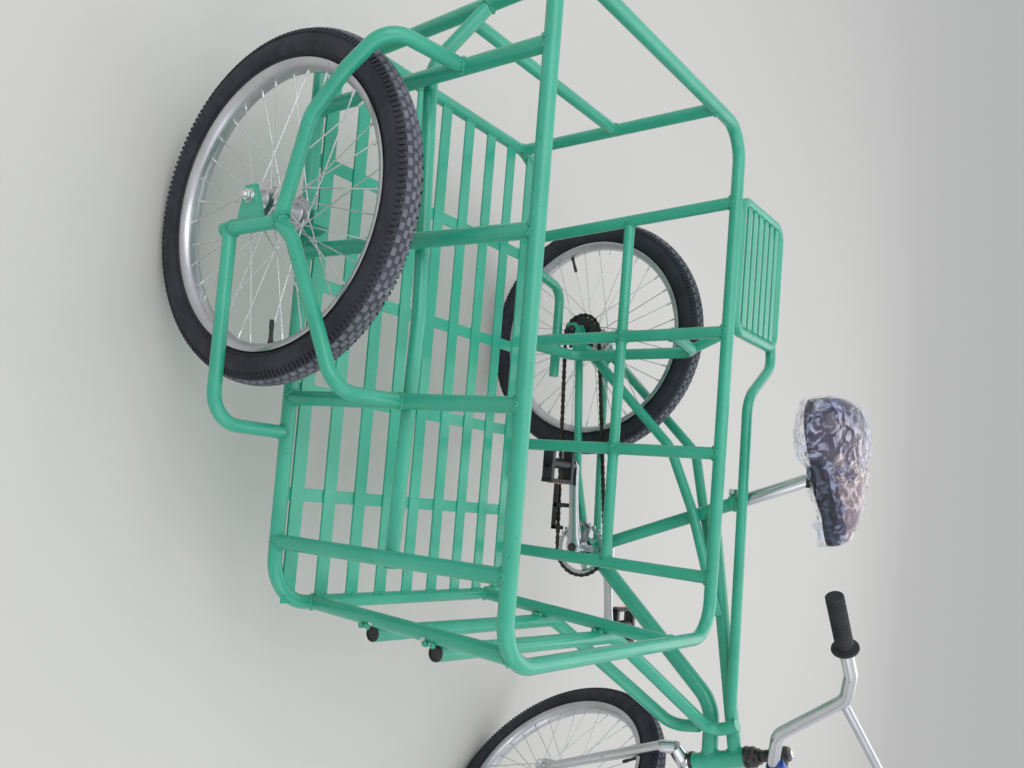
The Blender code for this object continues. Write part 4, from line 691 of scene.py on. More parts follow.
# Struts: name, post, height there, step along and height of the first bend, bends (x, z), bend radius
STRUTS = (("guard_rear_strut", "outboard_post_1", 0.512, -0.004, 0.486, ((-0.158, 0.424), (-0.108, 0.366)),
           0.04),
          ("guard_front_strut", "outboard_post_3", 0.452, 0.004, 0.45, ((0.176, 0.414), (0.056, 0.352)),
           0.035))
STRUT_INSET = 0.004


def wheel_guard():
    """The tube outside the sidecar wheel, with its upright, and the two struts up to the basket."""
    joint = Vector((GUARD_X, GUARD_Y, GUARD_Z))
    foot = Vector((GUARD_X, GUARD_Y, FLOOR["z"]))
    land = Vector((GUARD_LAND_X, FLOOR["outer"], FLOOR["z"]))
    shape = Shape()
    shape.tube(rounded([foot, (land.x, GUARD_Y, foot.z), land], GUARD_BEND), THIN_R, TUBE_SIDES)
    shape.tube([foot - UP * GUARD_TAIL, joint + UP * THIN_R], THIN_R, TUBE_SIDES)
    shape.slab(GUARD_TAB, TAB_THICK, (0.0, SIDE_HUB.y - SIDE_HALF - TAB_THICK / 2, TYRE_R), FORWARD, UP)
    shape.make("guard_lower_tube", replaces=("guard_lower_rail",))
    for name, post, height, step, bend_z, bends, radius in STRUTS:
        start = on_post(post, height)
        bent = [(x, GUARD_Y, z) for x, z in bends]
        path = [start, (start.x + step, GUARD_Y + STRUT_INSET, bend_z)] + bent + [joint]
        welds = [joined(start, path[1], THIN_R, UP, TUBE_R), joined(joint, path[-2], THIN_R, UP, THIN_R)]
        piece(name, rounded(path, radius), THIN_R, welds)
    beads = Shape()
    beads.weld(foot + UP * 0.05, -UP, THIN_R, foot, FORWARD, THIN_R)
    beads.weld(land - ACROSS * 0.04, ACROSS, THIN_R, land, FORWARD, TUBE_R)
    beads.make("guard_lower_welds", BEAD)


# Arms: name, height, y of the outer end, the two last points at the head tube, height of the bare spot
ARMS = (("upper_arm", 0.51, -0.78, ((0.776, -0.035, 0.6), (0.754, -0.035, 0.65)), -0.012),
        ("lower_arm", 0.37, -0.752, ((0.779, -0.035, 0.52), (0.77, -0.035, 0.575)), 0.012))
ARM_BEND, ARM_SPOT_R, BARE_SPOT_R = 0.05, 0.0046, 0.0038
ARM_SPOTS = ((0.01, 0.007), (-0.01, 0.006), (0.011, -0.007), (-0.009, -0.007))
PLUG = [(ARM_R * 0.98, -0.004), (ARM_R * 0.98, 0.0012), (ARM_R * 0.8, 0.0024), (ARM_R * 0.76, 0.0009),
        (0.0002, 0.0009)]


def arm_crossing(z, outer_y):
    """Two points of an arm where it runs along the front of the basket's end posts."""
    touch = TUBE_R + ARM_R
    outer = on_post("front_post_outboard", z)
    inner = on_post("front_post_inboard", z)
    slope = (inner.x - outer.x) / (inner.y - outer.y)
    return [Vector((outer.x + touch + slope * (y - outer.y), y, z)) for y in (outer_y, inner.y + ARM_R * 4)]


def arms():
    plugs = Shape()
    spots = Shape()
    bare = Shape()
    for name, z, outer_y, head, bare_up in ARMS:
        path = arm_crossing(z, outer_y) + [Vector(p) for p in head]
        piece(name, rounded(path, ARM_BEND), ARM_R)
        plugs.lathe(PLUG, path[0], (path[0] - path[1]).normalized(), 24)
        for side in ("inboard", "outboard"):
            post = on_post("front_post_" + side, z)
            for k, (shift, up) in enumerate(ARM_SPOTS):
                bead_spot(spots, post + Vector((TUBE_R, shift, up)), ARM_SPOT_R, k + z * 50)
        bead_spot(bare, post + Vector((TUBE_R * 0.5, -TUBE_R * 0.9, bare_up)), BARE_SPOT_R, z * 9)
    plugs.make("arm_end_plugs", PLASTIC)
    spots.make("arm_welds", BEAD)
    bare.make("arm_bare_spots", BARE_WELD)


HOOP_X, HOOP_Y, HOOP_TOP, HOOP_LOW, HOOP_START, HOOP_BEND = 0.056, -0.088, 0.538, 0.268, 0.548, 0.034
HOOP_LUG = [(-0.016, -0.014), (HOOP_X, 0.012), (HOOP_X, 0.05), (-0.006, 0.016), (-0.016, 0.008)]
BRACE = [Vector((-0.107, FLOOR["inner"], FLOOR["z"])), (-0.088, HOOP_Y - 0.006, FLOOR["z"]),
         (0.1, HOOP_Y - 0.006, FLOOR["z"])]


def axle_mounting():
    """The hoop that carries the rear axle's right end beside the basket, and the brace under it."""
    start = on_post("inboard_post_2", HOOP_START)
    foot = Vector((0.05, FLOOR["inner"], FLOOR["z"] + 0.006))
    hoop = [start, (HOOP_X, HOOP_Y, HOOP_TOP), (HOOP_X, HOOP_Y, HOOP_LOW), foot]
    shape = Shape()
    shape.tube(rounded(hoop, HOOP_BEND), TUBE_R, TUBE_SIDES)
    shape.slab(HOOP_LUG, TAB_THICK, (0.0, HOOP_Y, TYRE_R), FORWARD, UP)
    shape.make("axle_hoop_tube", replaces=("axle_hoop",))
    piece("axle_brace", rounded(BRACE, HOOP_BEND), THIN_R)
    beads = Shape()
    for end, before, radius, along in ((start, hoop[1], TUBE_R, UP), (foot, hoop[2], TUBE_R, FORWARD),
                                       (BRACE[0], BRACE[1], THIN_R, FORWARD)):
        beads.weld(*joined(end, before, radius, along, TUBE_R, back=0.05))
    beads.make("axle_mounting_welds", BEAD)


# Bicycle frame

HEAD_BELOW, HEAD_ABOVE, HEAD_R, CUP_R = 0.062, 0.056, 0.0175, 0.021
HEAD_BORE, CUP_BORE, RING_R = 0.0135, 0.015, HEAD_R + 0.0012
SEAT_TOP = Vector((0.336, 0.0, 0.614))
LEAN = (SEAT_TOP - BRACKET).normalized()
SHELL_HALF, SHELL_R, SHELL_BORE = 0.034, 0.02, 0.0095
SEAT_TUBE_R, DOWN_TUBE_R, STAY_R = 0.013, 0.0155, 0.0085
SEAT_COLLAR = [(0.013, 0.0), (0.0165, 0.001), (0.0165, 0.017), (0.013, 0.018)]
BRACKET_CUP = [(SHELL_BORE, 0.0), (0.0185, 0.0), (0.0175, 0.004), (SHELL_BORE, 0.004)]
STAY_PLATE = [(-0.016, -0.014), (0.03, -0.012), (0.052, 0.004), (0.04, 0.024), (0.006, 0.018),
              (-0.016, 0.008)]
CLAMP_BELOW, COLLAR_BELOW, CLAMP_DROP = 0.01, 0.019, 0.004
EAR_BACK, EAR_SIDE, EAR_HALF = 0.02, 0.0045, (0.006, 0.0022, 0.008)
BOLT_BACK, BOLT_R, BOLT_HALF, BOLT_FLATS, BOLT_HEAD = 0.021, 0.0026, 0.014, 0.01, 0.005
STAY_Y, LONG_STAY_Y, STAY_BEND = 0.0575, 0.062, 0.06


def head_tube():
    profile = [(HEAD_BORE, -HEAD_BELOW), (RING_R, -HEAD_BELOW), (RING_R, -HEAD_BELOW + 0.01),
               (HEAD_R, -HEAD_BELOW + 0.012), (HEAD_R, HEAD_ABOVE - 0.012), (RING_R, HEAD_ABOVE - 0.01),
               (RING_R, HEAD_ABOVE), (HEAD_BORE, HEAD_ABOVE)]
    shell = Shape().lathe(profile, HEAD, HEAD_AXIS, 36, closed=True)
    shell.make("head_tube_shell", replaces=("head_tube",))
    cups = Shape()
    for low, high in ((-HEAD_BELOW - 0.0004, -HEAD_BELOW + 0.006), (HEAD_ABOVE - 0.006, HEAD_ABOVE + 0.0004)):
        profile = [(CUP_BORE, low), (CUP_R, low), (CUP_R, high), (CUP_BORE, high)]
        cups.lathe(profile, HEAD, HEAD_AXIS, 36, closed=True)
    cups.make("headset_cups", DARK, slot="dark_steel", bevel=0.0008)


def seat_tube():
    """The seat tube with the bracket shell and the split clamp for the seat post."""
    shell = [(SHELL_BORE, -SHELL_HALF), (SHELL_R, -SHELL_HALF), (SHELL_R, SHELL_HALF),
             (SHELL_BORE, SHELL_HALF)]
    shape = Shape()
    shape.lathe(shell, BRACKET, ACROSS, 36, closed=True)
    shape.tube([BRACKET + LEAN * 0.012, SEAT_TOP], SEAT_TUBE_R, 24)
    shape.lathe(SEAT_COLLAR, SEAT_TOP - LEAN * COLLAR_BELOW, LEAN, 28)
    for side in (-1, 1):
        ear = SEAT_TOP - LEAN * CLAMP_BELOW + Vector((-EAR_BACK, side * EAR_SIDE, -CLAMP_DROP))
        shape.block(ear, EAR_HALF)
    shape.make("seat_tube_shell", replaces=("seat_tube",), bevel=0.0006)
    place = SEAT_TOP - LEAN * CLAMP_BELOW + Vector((-BOLT_BACK, 0.0, -CLAMP_DROP))
    bolt = Shape().lathe([(BOLT_R, -BOLT_HALF), (BOLT_R, BOLT_HALF)], place, ACROSS, 14)
    for start in (-0.013, 0.008):
        bolt.hexagon(place + ACROSS * start, ACROSS, BOLT_FLATS, BOLT_HEAD)
    bolt.make("seat_clamp_bolt", SPOKE, slot="dark_steel")
    cups = Shape()
    for side in (-1, 1):
        cups.lathe(BRACKET_CUP, BRACKET + ACROSS * side * SHELL_HALF, ACROSS * side, 28, closed=True)
    cups.make("bracket_cups", DARK, slot="dark_steel")


def main_tubes():
    down = [head_point(-0.026), Vector((0.732, 0.0, 0.584)), BRACKET + Vector((0.01, 0.0, 0.006))]
    welds = [joined(down[0], down[1], DOWN_TUBE_R, HEAD_AXIS, HEAD_R, HEAD, 0.05),
             joined(down[2], down[1], DOWN_TUBE_R, ACROSS, SHELL_R, BRACKET, 0.08)]
    piece("down_tube", rounded(down, 0.08), DOWN_TUBE_R, welds)
    top = [BRACKET.lerp(SEAT_TOP, 0.83), head_point(0.028)]
    welds = [joined(top[0], top[1], SEAT_TUBE_R, LEAN, SEAT_TUBE_R, BRACKET, 0.06),
             joined(top[1], top[0], SEAT_TUBE_R, HEAD_AXIS, HEAD_R, HEAD, 0.06)]
    piece("top_tube", top, SEAT_TUBE_R, welds)


def stays(side, word):
    shape = Shape()
    stay = [Vector((0.03, side * STAY_Y, TYRE_R + 0.003)), Vector((0.3, side * 0.048, 0.272)),
            BRACKET + ACROSS * side * 0.022]
    shape.tube(rounded(stay, STAY_BEND), STAY_R, 18)
    shape.slab(STAY_PLATE, TAB_THICK, (0.0, side * STAY_Y, TYRE_R), FORWARD, UP)
    shape.weld(*joined(stay[2], stay[1], STAY_R, ACROSS, SHELL_R, BRACKET, 0.05))
    shape.make("chain_stay_%s_tube" % word, replaces=("chain_stay_" + word,))
    long_stay = [(0.036, side * LONG_STAY_Y, TYRE_R + 0.024), (0.24, side * LONG_STAY_Y, 0.488),
                 (0.36, side * 0.029, 0.528), (0.56, side * 0.016, 0.588)]
    piece("long_stay_" + word, rounded(long_stay, STAY_BEND), THIN_R)


def bicycle_frame():
    head_tube()
    seat_tube()
    main_tubes()
    stays(-1, "right")
    stays(1, "left")


# Rack, seat

RACK = dict(rear=-0.232, length=0.25, inner=0.105, outer=-0.105, z=0.62, corner=0.03)
RACK_SLATS, RACK_PITCH = 6, 0.21 / 7
# Rail and strut by their corners; the rail runs beside the top tube
RACK_FRONT, RAIL_Y = RACK["rear"] + RACK["length"], -(SEAT_TUBE_R + THIN_R + 0.0006)
RACK_RAIL = [(RACK_FRONT - 0.006, 0.095, 0.62), (0.0577, 0.093, 0.624), (0.1372, RAIL_Y, 0.625),
             (0.754, RAIL_Y, 0.632)]
RACK_STRUT = [(RACK_FRONT - 0.004, -0.097, 0.62), (HOOP_X, HOOP_Y, 0.5176)]
# Spots of weld: on the loop beside each slat, and where rail and tubes touch
LOOP_INSET, LOOP_STEPS, LOOP_SPOT_UP, LOOP_SPOT_R = 0.009, (-0.005, 0.005), 0.0065, 0.0028
RAIL_SPOTS, RAIL_SPOT_Y, RAIL_SPOT_Z, RAIL_SPOT_R = (0.325, 0.355, 0.64, 0.7), -0.013, 0.622, 0.0045


def rack_slat(i):
    return RACK["outer"] + RACK_PITCH * (i + 1)


def rack():
    shape = Shape()
    shape.tube(loop_path(RACK), THIN_R, TUBE_SIDES, closed=True)
    half = (RACK["length"] / 2, RACK_PITCH * 0.31, SLAT_THICK / 2)
    for i in range(RACK_SLATS):
        shape.block((RACK["rear"] + RACK["length"] / 2, rack_slat(i), RACK["z"] + THIN_R / 2), half)
    shape.make("rack_platform_frame", replaces=("rack_platform",), bevel=0.0005)
    piece("rack_rail", rounded(RACK_RAIL, 0.06), THIN_R)
    piece("rack_strut", RACK_STRUT, THIN_R)
    beads = Shape()
    for x in (RACK["rear"] + LOOP_INSET, RACK_FRONT - LOOP_INSET):
        for i in range(RACK_SLATS):
            for shift in LOOP_STEPS:
                bead_spot(beads, (x, rack_slat(i) + shift, RACK["z"] + LOOP_SPOT_UP), LOOP_SPOT_R, i + x)
    for k, x in enumerate(RAIL_SPOTS):
        bead_spot(beads, (x, RAIL_SPOT_Y, RAIL_SPOT_Z + 0.004 * (k % 2)), RAIL_SPOT_R, k)
    beads.make("rack_welds", BEAD)


SADDLE_PLACE = Vector((0.2737, 0.0, 0.7685))
SADDLE_LENGTH = 0.272
SADDLE_TURN = Matrix.Rotation(radians(-7.3), 3, "Y")
# Share of the length from the tail, half width, top height above the base
SADDLE_ROWS = ((0.0, 0.05, 0.042), (0.05, 0.078, 0.066), (0.14, 0.093, 0.08), (0.26, 0.097, 0.085),
               (0.38, 0.088, 0.082), (0.5, 0.068, 0.076), (0.62, 0.046, 0.07), (0.75, 0.032, 0.064),
               (0.88, 0.025, 0.053), (0.96, 0.018, 0.039), (1.0, 0.008, 0.02))
# The band of painted shade under the nose, and the pale film over the nose's top that is a painted highlight,
# in the saddle's own frame
SHADE_BAND_START, SHADE_BAND_LOW, SHADE_BAND_HIGH = -0.02, -0.005, 0.027
NOSE_HIGHLIGHT_START, NOSE_HIGHLIGHT_LOW = 0.015, 0.04
# How square the saddle's section is at its sides, its top and its underside, and the dip of the seat
SIDE_POWER, TOP_POWER, LOW_POWER, SEAT_DIP = 0.8, 0.72, 0.6, 0.004
PAD_STEPS, FILM_STEPS, FILM_POINTS, FILM_GAP = 30, 90, 150, 0.003
POST_R, POST_TIP_R = 0.0127, 0.0108
# Saddle rail: x, half distance of the pair, height above the base
SADDLE_RAIL = ((-0.091, 0.03, -0.001), (-0.046, 0.021, -0.011), (0.034, 0.021, -0.011),
               (0.104, 0.01, 0.003))
SADDLE_RAIL_R = 0.0034
# Film: height and fineness of its crests and small folds, and of the ragged border of its tones
CREST, CREST_GRAIN, FOLD, FOLD_GRAIN, RAGGED, RAGGED_GRAIN = 0.009, 21.0, 0.007, 55.0, 0.008, 60.0
# Seat post by distances below its top, which is just under the saddle, and the clamp there
POST_GAP, POST_FOOT, POST_STEPS, KNUCKLE_BELOW = 0.002, 0.0003, (0.03, 0.022, 0.004), 0.012
KNUCKLE_HALF, CLAMP_BOLT_R, CLAMP_BOLT_HALF = (0.02, 0.022, 0.01), 0.004, 0.03


def on_saddle(point):
    """From the saddle's own level frame, centred on its base, to the place of the tilted saddle."""
    return at(SADDLE_PLACE + SADDLE_TURN @ Vector(point))


def saddle_ring(share, grow=0.0, drop=0.0, crinkle=None, count=36):
    """The points of the saddle's section at a share of its length from the tail."""
    rows = SADDLE_ROWS
    i = max(k for k in range(len(rows) - 1) if rows[k][0] <= share)
    t = (share - rows[i][0]) / (rows[i + 1][0] - rows[i][0])
    width = rows[i][1] + (rows[i + 1][1] - rows[i][1]) * t + grow
    high = rows[i][2] + (rows[i + 1][2] - rows[i][2]) * t + grow
    ring = []
    for c, s in circle(count):
        y = width * copysign(abs(c) ** SIDE_POWER, c)
        z = high * abs(s) ** TOP_POWER if s > 0 else -drop * abs(s) ** LOW_POWER
        if s > 0.6 and 0.1 < share < 0.5:
            z -= SEAT_DIP * (1 - c * c)
        point = Vector(((share - 0.5) * SADDLE_LENGTH, y, z))
        ring.append(crinkle(point, s) if crinkle else point)
    return ring


def ring_skin(shape, rings):
    rows, steps = len(rings), len(rings[0])
    verts = [point for ring in rings for point in ring]
    shape.add(verts, skin(rows, steps, flipped=True) + caps(rows, steps, flipped=True))


def crinkled(point, s):
    """Pushes a point of the film outwards along sharp crests, least on the top, where the film lies tight."""
    loose = 0.3 + 0.7 * min(1.0, max(0.0, 0.95 - s))
    crest = max(0.0, 1.0 - 6.0 * abs(noise.noise(point * CREST_GRAIN)))
    small = abs(noise.noise(point * FOLD_GRAIN + Vector((3.0, 1.0, 7.0))))
    way = (point - Vector((point.x, 0.0, 0.02))).normalized()
    return point + way * ((crest * CREST + small * FOLD) * loose)


def film_drop(share):
    """How far the film hangs below the saddle's base: furthest beside the tail, less at the nose."""
    tail = max(0.0, 1.0 - abs(share - 0.28) / 0.24)
    return 0.011 + 0.015 * min(1.0, tail * 1.6) + 0.007 * noise.noise(Vector((share * 9.0, 4.0, 0.0)))


def face_middles(shape):
    """The number and the middle of each face."""
    for i, face in enumerate(shape.faces):
        yield i, sum((shape.verts[k] for k in face), Vector()) / len(face)


def saddle_pad():
    shape = Shape(on_saddle)
    ring_skin(shape, [saddle_ring(k / PAD_STEPS) for k in range(PAD_STEPS + 1)])
    for i, middle in face_middles(shape):
        # Faces low under the nose get the painted shade tone
        if middle.x > SHADE_BAND_START and middle.z < SHADE_BAND_HIGH:
            shape.tones[i] = 1
    looks = [SADDLE, SADDLE_PAINTED_SHADE]
    seat = shape.make("saddle_pad", looks, slot="saddle_vinyl", replaces=("saddle",), sharp=75.0, subdivide=1)


def saddle_film():
    film = Shape(on_saddle)
    rings = []
    for k in range(FILM_STEPS + 1):
        share = k / FILM_STEPS
        rings.append(saddle_ring(share, FILM_GAP, film_drop(share), crinkled, FILM_POINTS))
    ring_skin(film, rings)
    for i, middle in face_middles(film):
        jagged = RAGGED * noise.noise(middle * RAGGED_GRAIN)
        slanted = middle.x + 0.5 * (middle.z - NOSE_HIGHLIGHT_LOW) + 9 * jagged
        # The film over the nose's top gets the painted highlight tone
        if slanted > NOSE_HIGHLIGHT_START and middle.z + jagged > NOSE_HIGHLIGHT_LOW:
            film.tones[i] = 2
        # The film over the band of painted shade gets the nearly clear tone
        elif middle.x > SHADE_BAND_START and SHADE_BAND_LOW < middle.z + jagged < SHADE_BAND_HIGH:
            film.tones[i] = 1
    film.make("saddle_film", [FILM, FILM_OVER_SHADE, FILM_NOSE_HIGHLIGHT], slot="saddle_vinyl", sharp=20.0)


def seat_post():
    """The seat post up to the saddle's base, with the clamp and the two rails that it holds."""
    top = SEAT_TOP + LEAN * ((SADDLE_PLACE.z - POST_GAP - SEAT_TOP.z) / LEAN.z)
    path = [SEAT_TOP + LEAN * POST_FOOT] + [top - LEAN * below for below in POST_STEPS]
    post = Shape().tube(path, [POST_R, POST_R, POST_TIP_R, POST_TIP_R], 26)
    post.make("seat_post_tube", CHROME, slot="chrome", replaces=("seat_post",))
    knuckle = top - LEAN * KNUCKLE_BELOW
    clamp = Shape().block(knuckle, KNUCKLE_HALF)
    clamp.lathe([(CLAMP_BOLT_R, -CLAMP_BOLT_HALF), (CLAMP_BOLT_R, CLAMP_BOLT_HALF)], knuckle, ACROSS, 14)
    for side in (-1, 1):
        clamp.hexagon(knuckle + ACROSS * side * KNUCKLE_HALF[1], ACROSS * side, 0.013, 0.006)
    clamp.make("saddle_clamp", DARK, slot="dark_steel", bevel=0.001)
    rails = Shape(on_saddle)
    for side in (-1, 1):
        rails.tube([(x, side * y, z) for x, y, z in SADDLE_RAIL], SADDLE_RAIL_R, 12)
    rails.make("saddle_rails", DARK, slot="dark_steel", bevel=0.001)


# Wheels

KNOBS, KNOB_SUNK, KNOB_TAPER = 96, 0.0008, 0.84
# Tread rows: angle round the section, start as a share of the pitch, half length, half width, height, tone
TREAD_ROWS = ((-0.16, 0.0, 0.006, 0.0032, 0.0026, 1), (0.16, 0.5, 0.006, 0.0032, 0.0026, 1),
              (-0.5, 0.5, 0.0058, 0.0036, 0.0026, 1), (0.5, 0.0, 0.0058, 0.0036, 0.0026, 1),
              (-0.92, 0.0, 0.0024, 0.0054, 0.003, 0), (-0.92, 0.5, 0.0024, 0.0054, 0.003, 0),
              (0.92, 0.25, 0.0024, 0.0054, 0.003, 0), (0.92, 0.75, 0.0024, 0.0054, 0.003, 0))
GROOVE_FROM, GROOVE_TO = -57.0, 42.0
SECTION_R, SECTION_CENTRE, SECTION_WIDER = 0.0224, 0.2308, 1.06
TYRE_FOOT, FOOT_HALF = RIM_R + 0.0004, 0.0125
BEAD_LINE_UP, BEAD_LINE_Y, BEAD_LINE_R = 0.006, 0.0185, 0.0009
RIM_INNER = RIM_R - 0.0135
# Right half of the rim's section: radius, distance from its middle
RIM_SECTION = [(RIM_R, 0.015), (RIM_R + 0.0002, 0.0162), (RIM_R - 0.001, 0.0165), (RIM_R - 0.005, 0.0161),
               (RIM_R - 0.01, 0.0125), (RIM_INNER + 0.0008, 0.007), (RIM_INNER, 0.004)]
SPOKE_PAIRS, SPOKE_R, SPOKE_FOOT, SPOKE_SIDE, SPOKE_RIM_Y = 9, 0.00105, 0.0222, 0.0026, 0.0022
SPOKE_HEAD = [(0.0012, -0.0006), (0.002, 0.0), (0.0012, 0.0008)]
NIPPLE = [(0.0016, -0.01), (0.0021, -0.009), (0.0021, 0.001), (0.0021, 0.002)]
VALVE = [(0.0042, 0.0), (0.004, 0.004), (0.0031, 0.007), (0.003, 0.02), (0.0036, 0.021), (0.0036, 0.031),
         (0.0028, 0.034)]


def spun(angle):
    """The way out from an axis along Y at an angle, and the way round the axis there."""
    return Vector((cos(angle), 0.0, sin(angle))), Vector((-sin(angle), 0.0, cos(angle)))


def spin_lathe(shape, profile, steps, tones=()):
    """A closed profile of (radius, y) pairs turned about the wheel's axis; tones has one for each row."""
    verts = [Vector((radius * c, y, radius * s)) for radius, y in profile for c, s in circle(steps)]
    faces = skin(len(profile), steps, closed=True, flipped=True)
    shape.add(verts, faces)
    if tones:
        shape.tones[-len(faces):] = [tones[i // steps] for i in range(len(faces))]


def mirrored(half):
    """The (radius, y) pairs of one half, and the same again on the other side."""
    return half + [(r, -y) for r, y in reversed(half)]


def tyre(name, here, body):
    """The tyre's skin with a line above each bead and rows of knobs, in three tones."""
    shape = Shape(here)
    profile = [(TYRE_FOOT, -FOOT_HALF)]
    tones = [0]
    for k in range(19):
        degrees = -140 + 280 * k / 18
        c, s = cos(radians(degrees)), sin(radians(degrees))
        profile.append((max(TYRE_FOOT, SECTION_CENTRE + SECTION_R * c), SECTION_R * SECTION_WIDER * s))
        tones.append(2 if GROOVE_FROM < degrees < GROOVE_TO else 0)
    spin_lathe(shape, profile + [(TYRE_FOOT, FOOT_HALF)], 128, tones + [0])
    for side in (-1, 1):
        line = [(TYRE_FOOT + BEAD_LINE_UP + BEAD_LINE_R * c, side * BEAD_LINE_Y + BEAD_LINE_R * s)
                for c, s in circle(6)]
        spin_lathe(shape, line, 96)
    for i in range(KNOBS):
        for lean, start, half_round, half_wide, high, tone in TREAD_ROWS:
            out, ahead = spun(2 * pi * (i + start) / KNOBS)
            normal = out * cos(lean) + ACROSS * sin(lean)
            centre = out * SECTION_CENTRE + normal * (SECTION_R + high / 2 - KNOB_SUNK)
            half = (half_round, half_wide, high / 2 + KNOB_SUNK)
            shape.block(centre, half, -ahead, ahead.cross(normal), KNOB_TAPER, tone)
    looks = [RUBBER, TREAD, GROOVE]
    shape.make(name + "_tyre_knobby", looks, body, "tyre_rubber", (name + "_tyre",), sharp=30.0)


def hub_shape(name, here, body, hub_half, flange):
    end = hub_half - 0.0042
    half = [(0.0056, end), (0.0098, end), (0.0104, end - 0.002), (0.011, flange + 0.01),
            (0.015, flange + 0.003), (0.0255, flange + 0.0022), (0.0262, flange + 0.001),
            (0.0262, flange - 0.001), (0.0255, flange - 0.0022), (0.016, flange - 0.003),
            (0.013, flange - 0.008), (0.012, flange - 0.016)]
    hub = Shape(here)
    spin_lathe(hub, mirrored(half), 48)
    hub.make(name + "_hub", ALLOY, body, "chrome", sharp=35.0)


def laced(name, here, body, flange):
    """Spokes that cross each other between the hub's flanges and the rim, each with a nipple."""
    def polar(radius, angle, y):
        return Vector((radius * cos(angle), y, radius * sin(angle)))

    spokes = Shape(here)
    nipples = Shape(here)
    step = pi / SPOKE_PAIRS
    for side in (1, -1):
        for k in range(2 * SPOKE_PAIRS):
            lead = 1 if k % 2 == 0 else -1
            hub_angle = step * k + (0.0 if side > 0 else step / 2)
            start = polar(SPOKE_FOOT, hub_angle, side * (flange + lead * SPOKE_SIDE))
            stop = polar(RIM_INNER - 0.001, hub_angle + lead * 3 * step, side * SPOKE_RIM_Y)
            through = ACROSS * lead * side
            spokes.tube([start - through * 0.004, start, start.lerp(stop, 0.015), stop], SPOKE_R, 7)
            spokes.lathe(SPOKE_HEAD, start - through * 0.0042, ACROSS, 7)
            nipples.lathe(NIPPLE, stop, (stop - start).normalized(), 8)
    spokes.make(name + "_spokes", SPOKE, body, "chrome", sharp=60.0)
    nipples.make(name + "_nipples", SPOKE, body, "chrome", sharp=60.0)


def wheel(name, centre, hub_half, body, place, valve_degrees):
    def here(point):
        return place(centre + Vector(point))

    tyre(name, here, body)
    rim = Shape(here)
    spin_lathe(rim, mirrored(RIM_SECTION), 128)
    rim.make(name + "_rim_ring", ALLOY, body, "chrome", (name + "_wheel_rim",), sharp=50.0)
    flange = hub_half * 0.62
    hub_shape(name, here, body, hub_half, flange)
    laced(name, here, body, flange)
    out = spun(radians(valve_degrees))[0]
    valve = Shape(here).lathe(VALVE, out * (RIM_INNER - 0.0002), -out, 16)
    valve.make(name + "_valve", PLASTIC, body, "tyre_rubber")


# Axles: name, centre, placing, body, look, its ends along Y, and the nuts by their ends along Y
AXLES = (("rear_axle", WHEEL_TOP, at, "frame", DARK, -0.1027, 0.0722,
          ((-0.0995, -0.0905), (-0.0852, -0.077), (0.06, 0.069))),
         ("sidecar_axle", SIDE_HUB, at, "frame", SPOKE, -0.0672, 0.0608, ((-0.064, -0.055),)),
         ("front_axle", FRONT_HUB, parked, "steering", SPOKE, -0.0672, 0.0672,
          ((-0.064, -0.055), (0.055, 0.064))))
THREAD_STEP, THREAD_LOW, THREAD_HIGH, AXLE_TIP_R = 0.0011, 0.0041, 0.0046, 0.0036
WASHER = [(0.0052, 0.0), (0.01, 0.0), (0.01, 0.0012), (0.0052, 0.0012)]


def axle_pieces():
    """The three axles with their nuts and washers."""
    for name, centre, place, body, look, first, last, nuts in AXLES:
        shape = Shape(place)
        count = int((last - first) / THREAD_STEP)
        thread = [(THREAD_HIGH if k % 2 else THREAD_LOW, first + (last - first) * k / count)
                  for k in range(count + 1)]
        shape.lathe([(AXLE_TIP_R, first)] + thread + [(AXLE_TIP_R, last)], centre, ACROSS, 16)
        for low, high in nuts:
            shape.hexagon(centre + ACROSS * (low + 0.0012), ACROSS, 0.015, high - low - 0.0024)
            washer_y = high - 0.0013 if low < 0 else low + 0.0001
            shape.lathe(WASHER, centre + ACROSS * washer_y, ACROSS, 24, closed=True)
        shape.make(name + "_thread", look, body, "dark_steel", (name,))


# Drive

CHAIN_Y, PITCH, RING_TEETH, SPROCKET_TEETH = -0.046, 0.0127, 28, 20
PIN_LIFT, ARC_STEPS = 0.0008, 60
LINK_R, LINK_WAIST, LINK_THICK, LINK_INNER, LINK_OUTER = 0.004, 0.0027, 0.0008, 0.0014, 0.0024


def pitch_radius(teeth):
    return PITCH / (2 * sin(pi / teeth))


def chain_loop():
    """The places of the chain's pins round the ring and the sprocket."""
    big, small = pitch_radius(RING_TEETH) + PIN_LIFT, pitch_radius(SPROCKET_TEETH) + PIN_LIFT
    between = BRACKET - WHEEL_TOP
    lift = asin((big - small) / between.length)
    start = atan2(between.z, between.x) + pi / 2 + lift
    half_turn, rest = -(pi + 2 * lift), -(pi - 2 * lift)
    path = []
    for centre, radius, first, sweep in ((BRACKET, big, start, half_turn),
                                         (WHEEL_TOP, small, start + half_turn, rest)):
        for k in range(ARC_STEPS + 1):
            angle = first + sweep * k / ARC_STEPS
            x, z = centre.x + radius * cos(angle), centre.z + radius * sin(angle)
            path.append(Vector((x, CHAIN_Y, z)))
    lengths = [0.0]
    for a, b in zip(path, path[1:] + path[:1]):
        lengths.append(lengths[-1] + (b - a).length)
    links = 2 * round(lengths[-1] / PITCH / 2)
    pins = []
    for i in range(links):
        goal = lengths[-1] * i / links
        k = max(j for j in range(len(path)) if lengths[j] <= goal)
        a, b = path[k], path[(k + 1) % len(path)]
        pins.append(a.lerp(b, (goal - lengths[k]) / max(1e-9, lengths[k + 1] - lengths[k])))
    return pins


